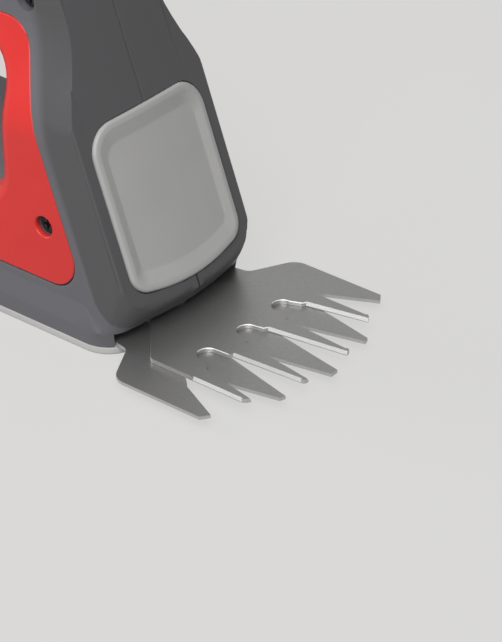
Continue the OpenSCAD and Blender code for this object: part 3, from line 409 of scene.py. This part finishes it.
@dataclass
class Workbench:
    """The loaded frame and the finishes, with the steps that every piece goes through."""

    frame: dict
    finishes: dict[str, bpy.types.Material]
    made: list[str] = field(default_factory=list)

    def slot_of(self, node: str) -> str:
        """The record's material slot of a CAD node."""
        return next(s["material_slot"] for s in self.frame["record"]["subparts"] if s["node"] == node)

    def body_of(self, node: str) -> str:
        """The name of the body that carries a CAD node."""
        return next(b for b, nodes in self.frame["record"]["behaviour"]["bodies"].items() if node in nodes)

    def paint(self, piece: bpy.types.Object, *slots: str) -> None:
        """Gives a piece the materials of these slots, the first one all over."""
        piece.data.materials.clear()
        for slot in slots:
            piece.data.materials.append(self.finishes[slot])

    def copy(self, node: str, name: str, merge: float = MERGE) -> bpy.types.Object:
        """Copies a CAD node's shape into a new, merged piece with whole faces.

        Args:
            node: The CAD node.
            name: The new piece's name.
            merge: Distance under which points become one, in metres.

        Returns:
            The new piece, at the origin.
        """
        self.pick(self.frame["nodes"][node])
        bpy.ops.object.duplicate()
        piece = bpy.context.active_object
        piece.name = name
        piece.data.name = name
        for key in list(piece.keys()):
            del piece[key]
        bpy.ops.object.mode_set(mode="EDIT")
        bpy.ops.mesh.select_all(action="SELECT")
        bpy.ops.mesh.customdata_custom_splitnormals_clear()
        bpy.ops.mesh.remove_doubles(threshold=merge)
        bpy.ops.mesh.dissolve_limited(angle_limit=math.radians(0.25))
        bpy.ops.object.mode_set(mode="OBJECT")
        return piece

    def pick(self, piece: bpy.types.Object) -> None:
        """Makes a piece the only selected object, and the active one."""
        bpy.ops.object.select_all(action="DESELECT")
        piece.select_set(True)
        bpy.context.view_layer.objects.active = piece

    def clear(self, piece: bpy.types.Object, kind: str) -> None:
        """Picks a piece with none of its VERT, EDGE or FACE elements selected."""
        self.pick(piece)
        bpy.ops.object.mode_set(mode="EDIT")
        bpy.ops.mesh.select_mode(type=kind)
        bpy.ops.mesh.select_all(action="DESELECT")
        bpy.ops.object.mode_set(mode="OBJECT")

    def select_faces(self, piece: bpy.types.Object, test: FaceTest) -> None:
        """Selects the faces that pass a test, in object mode."""
        self.clear(piece, "FACE")
        for face in piece.data.polygons:
            face.select = test(face)

    def inner_points(self, piece: bpy.types.Object, test: FaceTest) -> set[int]:
        """Finds the points that lie only on faces that pass a test.

        Args:
            piece: The piece to look at.
            test: Says whether a face takes part.

        Returns:
            Indices of the points.
        """
        free: set[int] = set()
        held: set[int] = set()
        for face in piece.data.polygons:
            (free if test(face) else held).update(face.vertices)
        return free - held

    def slice(self, piece: bpy.types.Object, test: FaceTest, normal: Vector, places: list[float]) -> None:
        """Cuts the faces that pass a test along parallel planes, without changing the form.

        Args:
            piece: The piece to work on.
            test: Says whether a face is cut.
            normal: The planes' normal.
            places: The planes' distances from the origin.
        """
        for place in places:
            self.select_faces(piece, test)
            bpy.ops.object.mode_set(mode="EDIT")
            bpy.ops.mesh.bisect(plane_co=normal * place, plane_no=normal)
            bpy.ops.object.mode_set(mode="OBJECT")

    def relax(self, piece: bpy.types.Object, test: FaceTest, rounds: int) -> None:
        """Evens out the points that lie only on faces that pass a test.

        Args:
            piece: The piece to work on.
            test: Says whether a face takes part.
            rounds: How many times each point moves half-way to its neighbours' middle.
        """
        self.clear(piece, "VERT")
        for index in self.inner_points(piece, test):
            piece.data.vertices[index].select = True
        bpy.ops.object.mode_set(mode="EDIT")
        bpy.ops.mesh.vertices_smooth(factor=0.5, repeat=rounds)
        bpy.ops.object.mode_set(mode="OBJECT")

    def loft(self, name: str, rings: list[list[Vector]]) -> bpy.types.Object:
        """Extrudes a disc through rings of points into a closed piece.

        Args:
            name: The new piece's name.
            rings: Rings of equally many points, from the first face to the last.

        Returns:
            The new piece, at the origin.
        """
        count = len(rings[0])
        bpy.ops.object.select_all(action="DESELECT")
        bpy.ops.mesh.primitive_circle_add(vertices=count, radius=1.0, fill_type="NGON")
        piece = bpy.context.active_object
        piece.name = name
        piece.data.name = name
        for vertex, point in zip(piece.data.vertices, rings[0]):
            vertex.co = point
        current = list(rings[0])
        for ring in rings[1:]:
            bpy.ops.object.mode_set(mode="EDIT")
            bpy.ops.mesh.extrude_region_move()
            bpy.ops.object.mode_set(mode="OBJECT")
            place = {tuple(round(c, 7) for c in point): index for index, point in enumerate(current)}
            for vertex in piece.data.vertices:
                if vertex.select:
                    vertex.co = ring[place[tuple(round(c, 7) for c in vertex.co)]]
            current = ring
        bpy.ops.object.mode_set(mode="EDIT")
        bpy.ops.mesh.select_all(action="SELECT")
        bpy.ops.mesh.normals_make_consistent(inside=False)
        bpy.ops.object.mode_set(mode="OBJECT")
        return piece

    def round_edges(self, piece: bpy.types.Object, radius: float, steps: int, test: EdgeTest,
                    sharp: float = 25.0, slot: int = -1) -> None:
        """Rounds the sharp edges that pass a test.

        Args:
            piece: The piece to work on.
            radius: Width of the rounding, in metres.
            steps: Segments of the rounding.
            test: Takes an edge's middle and its two face normals, and says whether the edge is rounded.
            sharp: Least angle of a sharp edge, in degrees.
            slot: The piece's material for the new faces, or -1 for their neighbours'.
        """
        self.clear(piece, "EDGE")
        mesh = piece.data
        sides: dict[tuple[int, int], list[Vector]] = {}
        for face in mesh.polygons:
            for key in face.edge_keys:
                sides.setdefault(key, []).append(face.normal)
        for edge in mesh.edges:
            normals = sides.get(edge.key, [])
            if len(normals) != 2 or normals[0].angle(normals[1], 0.0) < math.radians(sharp):
                continue
            middle = (mesh.vertices[edge.vertices[0]].co + mesh.vertices[edge.vertices[1]].co) / 2
            edge.select = test(middle, normals[0], normals[1])
        bpy.ops.object.mode_set(mode="EDIT")
        bpy.ops.mesh.bevel(offset=radius, segments=steps, profile=0.5, clamp_overlap=False,
                           miter_outer="ARC", material=slot)
        bpy.ops.object.mode_set(mode="OBJECT")

    def smooth(self, piece: bpy.types.Object, angle: float = 30.0) -> None:
        """Shades a piece smoothly up to an angle in degrees."""
        self.pick(piece)
        bpy.ops.object.shade_smooth_by_angle(angle=math.radians(angle))
        weigh = piece.modifiers.new("weigh", "WEIGHTED_NORMAL")
        weigh.mode = "FACE_AREA"
        weigh.keep_sharp = True
        bpy.ops.object.modifier_apply(modifier=weigh.name)

    def settle(self, piece: bpy.types.Object, node: str) -> None:
        """Lets a piece stand for a CAD node and ride on that node's body."""
        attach(piece, self.body_of(node))
        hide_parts(node)
        self.made.append(piece.name)
        LOG.info("%s stands for %s, %d faces", piece.name, node, len(piece.data.polygons))


@dataclass
class FrontPanel:
    """The light panel on the front: a gently bulged plate with a rounded edge and a dished field."""

    bench: Workbench
    width: float = 45.8 * MM
    low: float = 16.6 * MM
    high: float = 64 * MM
    lean: float = math.radians(20.6)
    zero: float = -12.504 * MM
    bow: float = 5 * MM
    bow_low: float = -2 * MM
    crown: float = 1.4 * MM
    thick: float = 2.8 * MM
    proud: float = 0.7 * MM
    edge_radius: float = 0.95 * MM
    rim: float = 1.9 * MM
    field_side: float = 5 * MM
    field_end: float = 6.4 * MM
    dish: float = 1.0 * MM
    soft: float = 0.35 * MM
    seat: float = 1.6 * MM
    field_shrink: float = 4 * MM
    field_step: float = 1.2 * MM
    least_radius: float = 0.6 * MM
    radii: tuple[float, ...] = (6.5 * MM, 70.0 * MM, 6.5 * MM, 9.0 * MM, 9.0 * MM)
    corner_steps: int = 14
    run_steps: int = 10

    def outline(self, side: float, end: float, shrink: float) -> list[Vector]:
        """Draws the panel's outline, moved in.

        Args:
            side: How far the upright edges are moved in.
            end: How far the upper and lower edges are moved in.
            shrink: How much smaller the corner radii are.

        Returns:
            Points anticlockwise in the panel's plane, equally many for every inset.
        """
        rise = (self.high - self.low) / math.cos(self.lean)
        x = self.width / 2 - side
        shoulder = self.bow_low + self.bow * 2 * x / self.width + end
        corners = [Vector((-x, shoulder)), Vector((0.0, self.bow_low + end)), Vector((x, shoulder)),
                   Vector((x, rise - end)), Vector((-x, rise - end))]
        radii = [max(radius - shrink, self.least_radius) for radius in self.radii]
        arcs = []
        for index, corner in enumerate(corners):
            before = (corners[index - 1] - corner).normalized()
            after = (corners[(index + 1) % 5] - corner).normalized()
            half = before.angle(after) / 2
            centre = corner + (before + after).normalized() * radii[index] / math.sin(half)
            start = corner + before * radii[index] / math.tan(half) - centre
            turn = math.pi - 2 * half
            across = Vector((-start.y, start.x))
            arcs.append([centre + start * math.cos(a) + across * math.sin(a)
                         for a in (turn * k / self.corner_steps for k in range(self.corner_steps + 1))])
        points = []
        for index, arc in enumerate(arcs):
            points += arc
            first, last = arc[-1], arcs[(index + 1) % 5][0]
            points += [first.lerp(last, k / self.run_steps) for k in range(1, self.run_steps)]
        return points

    def place(self, points: list[Vector], depth: float, crowned: bool = True) -> list[Vector]:
        """Lifts points of the panel's plane into the frame.

        Args:
            points: Points in the plane.
            depth: Distance out of the plane.
            crowned: Whether the bulge is added.

        Returns:
            Points in the frame.
        """
        sine, cosine = math.sin(self.lean), math.cos(self.lean)
        foot = Vector((0.0, self.zero + math.tan(self.lean) * self.low, self.low))
        lifted = []
        for point in points:
            bulge = self.crown * (1 - (2 * point.x / self.width) ** 2) * cosine if crowned else 0.0
            out = depth + bulge
            lifted.append(foot + Vector((point.x, point.y * sine - out * cosine, point.y * cosine + out * sine)))
        return lifted

    def build(self) -> None:
        """Builds and dresses the panel."""
        edge = self.edge_radius
        rings = [self.place(self.outline(0.0, 0.0, 0.0), -depth, False) for depth in (self.thick, self.seat)]
        for step in range(6):
            a = math.pi / 2 * step / 5
            inset = edge * (1 - math.cos(a))
            rings.append(self.place(self.outline(inset, inset, inset), self.proud - edge * (1 - math.sin(a))))
        before = -self.soft / (self.field_side - self.rim)
        for share, drop in ((before, 0.0), (0.0, 0.0), (0.12, 0.07), (0.88, 0.93), (1.0, 1.0), (1.12, 1.0)):
            side = self.rim + (self.field_side - self.rim) * share
            end = self.rim + (self.field_end - self.rim) * share
            shrink = min(side, self.field_shrink)
            rings.append(self.place(self.outline(side, end, shrink), self.proud - self.dish * drop))
        inner = self.outline(self.field_side + self.field_step, self.field_end + self.field_step, self.field_shrink)
        middle = Vector((0.0, (self.high - self.low) / math.cos(self.lean) / 2))
        for share in (0.8, 0.6, 0.4, 0.2):
            rings.append(self.place([middle + (point - middle) * share for point in inner], self.proud - self.dish))
        panel = self.bench.loft("bumper", rings)
        self.bench.paint(panel, "light_panel")
        self.bench.smooth(panel, 40)
        self.bench.settle(panel, "front_panel")


@dataclass
class Shell:
    """The two dark housing halves with their red side panels, sole, grip and controls."""

    bench: Workbench
    front_zero: float = -12.5 * MM
    front_slope: float = 0.376
    side_seat: float = 27.2 * MM
    front_seat_half: float = 23.4 * MM
    front_seat_low: float = 15.5 * MM
    seam_half: float = 0.3 * MM
    seam_low: float = 9 * MM
    seam_high: float = 24 * MM
    seam_deep: float = 1.5 * MM
    edge_radius: float = 0.35 * MM
    panel_radius: float = 0.55 * MM
    sole_radius: float = 0.5 * MM
    skirt_low: float = 2.5 * MM
    skirt_top: float = 7 * MM
    skirt_front: float = 12 * MM
    skirt_side: float = 25.9 * MM
    ledge: float = 1.2 * MM
    cheek_top: float = 21.9 * MM
    cheek_deep: float = 19.9 * MM
    cut_step: float = 1.2
    evening: tuple[tuple[float, int], ...] = ((22 * MM, 2), (19 * MM, 4), (16 * MM, 8), (13 * MM, 10))
    handle_middle: float = 97 * MM
    groove_pitch: float = 3.4 * MM
    groove_half: float = 0.7 * MM
    groove_depth: float = 0.38 * MM
    groove_first: float = 64.5 * MM
    groove_count: int = 16
    groove_low: float = 91.5 * MM

    def housing_edge(self, middle: Vector, first: Vector, second: Vector) -> bool:
        """Says whether an edge lies on the outside of the housing.

        Args:
            middle: The edge's middle.
            first: Normal of one face.
            second: Normal of the other face.

        Returns:
            True at the seats of the side and front panels and along the seam at the front.
        """
        behind = middle.y - self.front_zero - self.front_slope * middle.z
        x, z = abs(middle.x), middle.z
        at_side = x > self.side_seat and 12 * MM < z < 55 * MM and max(abs(first.x), abs(second.x)) > 0.9
        on_front = abs(behind) < 0.7 * MM and min(first.y, second.y) < -0.8
        at_front = on_front and x < self.front_seat_half and z > self.front_seat_low
        at_seam = x < 0.12 * MM and behind < self.seam_deep and z > self.seam_low
        return at_side or at_front or at_seam

    def behind(self, point: Vector) -> float:
        """Distance of a point behind the leaning front."""
        return (point.y - self.front_zero - self.front_slope * point.z) * FRONT_COS

    def faces_out(self, face: bpy.types.MeshPolygon) -> bool:
        """Says whether a face looks to the front and its own side."""
        return face.normal.x * math.copysign(1.0, face.center.x) * 0.75 - face.normal.y * 0.66 > 0.2

    def cheek(self, face: bpy.types.MeshPolygon, top: float) -> bool:
        """Says whether a face is part of the outer skin round a lower front corner.

        Args:
            face: A face of a housing half.
            top: Height at which the corner's skin ends.

        Returns:
            True on that skin, apart from the seam.
        """
        c = face.center
        deep = (20 if c.z < 11.5 * MM else 12.6) * MM
        in_reach = self.skirt_low < c.z < top and -1.5 * MM < self.behind(c) < deep
        return in_reach and abs(c.x) > 1.3 * MM and self.faces_out(face)

    def touches(self, face: bpy.types.MeshPolygon, mesh: bpy.types.Mesh) -> bool:
        """Says whether an outer face of a mesh reaches into the lower front."""
        points = [mesh.vertices[index].co for index in face.vertices]
        return self.faces_out(face) and any(
            self.skirt_low < c.z < self.cheek_top and -1.5 * MM < self.behind(c) < self.cheek_deep for c in points)

    def fill_ledge(self, housing: bpy.types.Object) -> None:
        """Slants the wall under a lower front corner out to the skirt, so that no ledge is left.

        Args:
            housing: A housing half.
        """
        slack = 0.05 * MM
        points = [v for v in housing.data.vertices
                  if abs(v.co.x) > self.skirt_side and v.co.y < self.skirt_front and v.co.z < self.skirt_top + slack]
        wall = [v.co.xy.copy() for v in points if v.co.z < self.skirt_low]
        upper = [v for v in points if v.co.z > self.skirt_top - slack]
        on_wall = [v for v in upper if min((v.co.xy - w).length for w in wall) < slack]
        rim = [v.co.xy.copy() for v in upper if v not in on_wall]
        for vertex in on_wall:
            near = min(rim, key=lambda place: (place - vertex.co.xy).length)
            if (near - vertex.co.xy).length < self.ledge:
                vertex.co.xy = near
        self.bench.select_faces(housing, lambda face: True)
        bpy.ops.object.mode_set(mode="EDIT")
        bpy.ops.mesh.remove_doubles(threshold=0.01 * MM)
        bpy.ops.mesh.dissolve_degenerate(threshold=0.005 * MM)
        bpy.ops.object.mode_set(mode="OBJECT")

    def panel_edge(self, middle: Vector, first: Vector, second: Vector) -> bool:
        """Says whether an edge runs round a side panel's outer outline."""
        beside_opening = 33.6 * MM < middle.y < 131 * MM and 31 * MM < middle.z < 85 * MM
        return max(abs(first.x), abs(second.x)) > 0.5 and abs(middle.x) > 16 * MM and not beside_opening

    def palm_side(self, face: bpy.types.MeshPolygon) -> bool:
        """Says whether a face of the grip lies in the hand."""
        c, n = face.center, face.normal
        outer = n.x * c.x + n.z * (c.z - self.handle_middle) > 0
        return outer and abs(n.y) < 0.4 and n.z > -0.3 and c.z > self.groove_low

    def groove_grip(self, grip: bpy.types.Object) -> None:
        """Cuts shallow grooves across the grip.

        Args:
            grip: The soft grip.
        """
        middles = [self.groove_first + self.groove_pitch * k for k in range(self.groove_count)]
        cuts = [y + side * self.groove_half for y in middles for side in (-1, 0, 1)]
        self.bench.slice(grip, self.palm_side, Vector((0, 0, 1)), [self.groove_low + rise * MM for rise in (0.1, 1.1)])
        self.bench.slice(grip, self.palm_side, Vector((0, 1, 0)), cuts)
        self.bench.clear(grip, "VERT")
        for index in self.bench.inner_points(grip, self.palm_side):
            vertex = grip.data.vertices[index]
            in_groove = min(abs(vertex.co.y - y) for y in middles) < MERGE
            vertex.select = in_groove and vertex.co.z > self.groove_low + 1 * MM
        bpy.ops.object.mode_set(mode="EDIT")
        bpy.ops.transform.shrink_fatten(value=-self.groove_depth)
        bpy.ops.object.mode_set(mode="OBJECT")

    def above(self, low: float) -> EdgeTest:
        """Makes an edge test that passes edges above a height."""
        return lambda middle, first, second: middle.z > low

    def sole_edge(self, middle: Vector, first: Vector, second: Vector) -> bool:
        """Says whether an edge runs round the sole."""
        return abs(middle.x) > 27 * MM or not 6 * MM < middle.y < 140 * MM

    def even_corners(self, housing: bpy.types.Object) -> None:
        """Evens out the skin round a housing half's lower front corner.

        Args:
            housing: A housing half.
        """
        reach = partial(self.touches, mesh=housing.data)
        upright, leaning, across = Vector((0, 0, 1)), Vector((0, FRONT_COS, -FRONT_SIN)), Vector((1, 0, 0))
        for normal, last, first in ((upright, 22, 3.5), (leaning, 8.3, -11), (across, 28.8, -28.8)):
            count = int((last - first) / self.cut_step) + 1
            self.bench.slice(housing, reach, normal, [(last - self.cut_step * k) * MM for k in range(count)])
        for top, rounds in self.evening:
            self.bench.relax(housing, partial(self.cheek, top=top), rounds)

    def paint_housing(self, housing: bpy.types.Object) -> None:
        """Paints a housing half, with a red front wall in the hand opening and painted shade, in black plastic, on the
        seam's groove faces.

        Args:
            housing: A housing half.
        """
        self.bench.paint(housing, "dark_shell", "red_panel", "black_plastic")
        for face in housing.data.polygons:
            c, x = face.center, abs(face.center.x)
            in_opening = 36 * MM < c.y < 60 * MM and 34 * MM < c.z < 82 * MM and 4 * MM < x < 26 * MM
            at_chin = abs(self.behind(c)) < self.seam_deep and self.seam_low < c.z < self.seam_high
            # Painted shade: the groove faces along the seam at the chin get black plastic in place of the shade in the
            # gap.
            seam = at_chin and x < self.seam_half
            face.material_index = 2 if seam else int(in_opening and face.normal.y > 0.3)

    def finish_piece(self, piece: bpy.types.Object, node: str) -> None:
        """Gives a piece its slot's finish and lets it stand for a node."""
        self.bench.paint(piece, self.bench.slot_of(node))
        self.bench.smooth(piece)
        self.bench.settle(piece, node)

    def build(self) -> None:
        """Builds and dresses the shell's pieces."""
        bench = self.bench
        for side in ("right", "left"):
            housing = bench.copy(f"housing_{side}", f"shell_{side}")
            bench.round_edges(housing, self.edge_radius, 2, self.housing_edge)
            self.fill_ledge(housing)
            self.even_corners(housing)
            self.paint_housing(housing)
            bench.smooth(housing)
            bench.settle(housing, f"housing_{side}")
            panel = bench.copy(f"side_panel_{side}", f"inlay_{side}")
            bench.round_edges(panel, self.panel_radius, 3, self.panel_edge, 40)
            self.finish_piece(panel, f"side_panel_{side}")
        sole = bench.copy("sole_plate", "glide_sole")
        bench.round_edges(sole, self.sole_radius, 3, self.sole_edge, 40)
        self.finish_piece(sole, "sole_plate")
        grip = bench.copy("grip_saddle", "palm_grip")
        bench.round_edges(grip, 0.5 * MM, 3, self.above(0.0), 40)
        self.groove_grip(grip)
        self.finish_piece(grip, "grip_saddle")
        trigger = bench.copy("trigger", "finger_trigger")
        bench.round_edges(trigger, 0.6 * MM, 3, self.above(0.0), 40)
        self.finish_piece(trigger, "trigger")
        lock = bench.copy("lock_button", "lock_slider", 0.25 * MM)
        bench.round_edges(lock, 0.2 * MM, 3, self.above(112 * MM), 40)
        self.finish_piece(lock, "lock_button")


@dataclass
class Blades:
    """The fixed and the moving blade with their bright ground flanks."""

    bench: Workbench
    flank_low: float = 0.12
    flank_high: float = 0.8
    upright: float = 0.1
    burr: float = 0.2 * MM
    heel_burr: float = 0.12 * MM

    def on_top(self, first: Vector, second: Vector) -> bool:
        """Says whether an edge between these normals parts the top from an upright wall."""
        return max(first.z, second.z) > 0.99 and abs(min(first.z, second.z)) < self.upright

    def gullet_rim(self, middle: Vector, first: Vector, second: Vector) -> bool:
        """Says whether an edge runs round the top of a gullet, apart from its right-hand wall."""
        wall = first if first.z < second.z else second
        in_gullet = abs(middle.x) < 22.5 * MM and -29.2 * MM < middle.y < -21 * MM
        return in_gullet and wall.x < 0.3 and self.on_top(first, second)

    def heel_rim(self, middle: Vector, first: Vector, second: Vector) -> bool:
        """Says whether an edge runs along the top of a heel's slanted back edge."""
        at_heel = 13.5 * MM < abs(middle.x) < 27.2 * MM and -14 * MM < middle.y < -2 * MM
        return at_heel and self.on_top(first, second)

    def slot(self, normal: Vector) -> int:
        """The material of a face with this normal: 1 on ground flanks, 2 on sheared walls, 0 elsewhere."""
        return 1 if self.flank_low < normal.z < self.flank_high else 2 if abs(normal.z) < self.upright else 0

    def build(self) -> None:
        """Builds and dresses both blades."""
        bench = self.bench
        for node, name in (("fixed_blade", "lower_blade"), ("moving_blade", "upper_blade")):
            blade = bench.copy(node, name, 0.005 * MM)
            bench.paint(blade, "blade_steel", "ground_edge", "sheared_edge")
            for face in blade.data.polygons:
                face.material_index = self.slot(face.normal)
            if node == "moving_blade":
                bench.round_edges(blade, self.burr, 1, self.gullet_rim, 60, 1)
                bench.round_edges(blade, self.heel_burr, 1, self.heel_rim, 60, 2)
            bench.smooth(blade, 20)
            bench.settle(blade, node)


@dataclass
class Springs:
    """The return springs of the trigger and of the lock."""

    bench: Workbench

    def shorten(self, coil: bpy.types.Object) -> None:
        """Gives a spring a mesh of its own; its lowest and highest points are found but not used.

        Args:
            coil: The spring.
        """
        points = [vertex.co for vertex in coil.data.vertices]
        low, high = (end(point.z for point in points) for end in (min, max))
        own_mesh(coil)

    def build(self) -> None:
        """Builds both springs."""
        for node, name, joint_name in (("trigger_spring", "trigger_coil", "trigger_pull"),
                                       ("lock_spring", "lock_coil", "lock_press")):
            coil = self.bench.copy(node, name, 0.001 * MM)
            self.bench.paint(coil, self.bench.slot_of(node))
            self.bench.smooth(coil, 60)
            self.bench.settle(coil, node)
            self.shorten(coil)


@dataclass
class Inside:
    """What keeps its CAD shape: drive, power, switchgear and screws."""

    bench: Workbench

    def build(self) -> None:
        """Paints every CAD node that still shows."""
        for node, piece in self.bench.frame["nodes"].items():
            self.bench.paint(piece, self.bench.slot_of(node))


@dataclass
class Studio:
    """A pale floor, soft lamps and the photograph's camera."""

    azimuth: float = -51.06
    elevation: float = 31.8
    distance: float = 0.9005
    aim: Colour = (0.01129, -0.018, -0.0001)
    lens: float = 180.0
    sensor: float = 36.0
    floor_colour: Colour = (0.72, 0.715, 0.705)
    world_strength: float = 0.22
    glow: float = 0.7
    lift: float = 1.15
    bounce: float = 0.34
    cloud: float = 0.015

    def camera(self) -> None:
        """Places the camera at the photograph's view."""
        turn, rise = math.radians(self.azimuth), math.radians(self.elevation)
        back = Vector((math.sin(turn) * math.cos(rise), -math.cos(turn) * math.cos(rise), math.sin(rise)))
        data = bpy.data.cameras.new("photo_view")
        data.sensor_fit = "VERTICAL"
        data.sensor_height = self.sensor
        data.lens = self.lens
        data.clip_start = 0.05
        view = bpy.data.objects.new("photo_view", data)
        bpy.context.scene.collection.objects.link(view)
        view.location = Vector(self.aim) + back * self.distance
        view.rotation_euler = back.to_track_quat("Z", "Y").to_euler()
        bpy.context.scene.camera = view

    def lamp(self, name: str, place: Colour, aim: Colour, size: float, watts: float) -> None:
        """Adds a square soft lamp.

        Args:
            name: The lamp's name.
            place: Where it hangs.
            aim: The point it faces.
            size: Its edge length.
            watts: Its power.
        """
        data = bpy.data.lights.new(name, "AREA")
        data.size = size
        data.energy = watts
        lamp = bpy.data.objects.new(name, data)
        bpy.context.scene.collection.objects.link(lamp)
        lamp.location = place
        lamp.rotation_euler = (Vector(place) - Vector(aim)).to_track_quat("Z", "Y").to_euler()

    def floor(self) -> None:
        """Lays the pale floor, which belongs to the stage."""
        bpy.ops.object.select_all(action="DESELECT")
        bpy.ops.mesh.primitive_plane_add(size=6.0, location=(0.0, 0.0, 0.0))
        floor = bpy.context.active_object
        floor.name = "pale_floor"
        sketch = NodeSketch("pale_floor")
        base = shade(self.floor_colour, self.bounce)
        sketch.colour(sketch.noise(0.4, 2.0), shade(base, 1 - self.cloud), shade(base, 1 + self.cloud))
        sketch.shader.inputs["Roughness"].default_value = 0.7
        sketch.shader.inputs["Specular IOR Level"].default_value = 0.2
        path = sketch.add("ShaderNodeLightPath")
        seen = sketch.add("ShaderNodeMath", operation="ADD")
        sketch.link(path.outputs["Is Camera Ray"], seen.inputs[0])
        sketch.link(path.outputs["Is Glossy Ray"], seen.inputs[1])
        through = sketch.add("ShaderNodeMath", operation="ADD", use_clamp=True)
        sketch.link(seen.outputs["Value"], through.inputs[0])
        sketch.link(path.outputs["Is Transmission Ray"], through.inputs[1])
        share = sketch.add("ShaderNodeMath", operation="MULTIPLY")
        share.inputs[1].default_value = self.glow
        sketch.link(through.outputs["Value"], share.inputs[0])
        glow = sketch.add("ShaderNodeEmission")
        glow.inputs["Color"].default_value = (*shade(self.floor_colour, self.lift), 1.0)
        both = sketch.add("ShaderNodeMixShader")
        sketch.link(share.outputs["Value"], both.inputs["Fac"])
        sketch.link(sketch.shader.outputs["BSDF"], both.inputs[1])
        sketch.link(glow.outputs["Emission"], both.inputs[2])
        sketch.link(both.outputs["Shader"], sketch.tree.nodes["Material Output"].inputs["Surface"])
        floor.data.materials.append(sketch.material)

    def world(self) -> None:
        """Sets the even light of a pale room."""
        world = bpy.data.worlds.new("pale_room")
        world.use_nodes = True
        sky = world.node_tree.nodes["Background"]
        sky.inputs["Color"].default_value = (1.0, 1.0, 1.0, 1.0)
        sky.inputs["Strength"].default_value = self.world_strength
        bpy.context.scene.world = world

    def build(self) -> None:
        """Builds the studio."""
        self.camera()
        self.floor()
        self.world()
        self.lamp("ceiling_softbox", (-0.1, 0.1, 1.3), (0.0, 0.0, 0.0), 1.2, 6.0)
        self.lamp("key_softbox", (-0.9, -0.5, 1.05), (0.0, 0.03, 0.03), 1.1, 28.0)
        self.lamp("back_softbox", (-0.4, 1.45, 0.7), (0.0, 0.03, 0.03), 0.8, 12.0)
        self.lamp("right_softbox", (1.05, 0.85, 0.8), (0.0, 0.0, 0.0), 1.2, 2.2)
        bpy.context.scene.view_settings.view_transform = "Standard"


def main() -> None:
    """Loads the frame, builds every sub-assembly and logs how many pieces were made."""
    logging.basicConfig(level=logging.INFO, format="%(name)s: %(message)s")
    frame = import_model()
    bench = Workbench(frame, FinishBook().build())
    Inside(bench).build()
    Shell(bench).build()
    FrontPanel(bench).build()
    Blades(bench).build()
    Springs(bench).build()
    Studio().build()
    LOG.info("%d pieces made", len(bench.made))


if __name__ == "__main__":
    main()
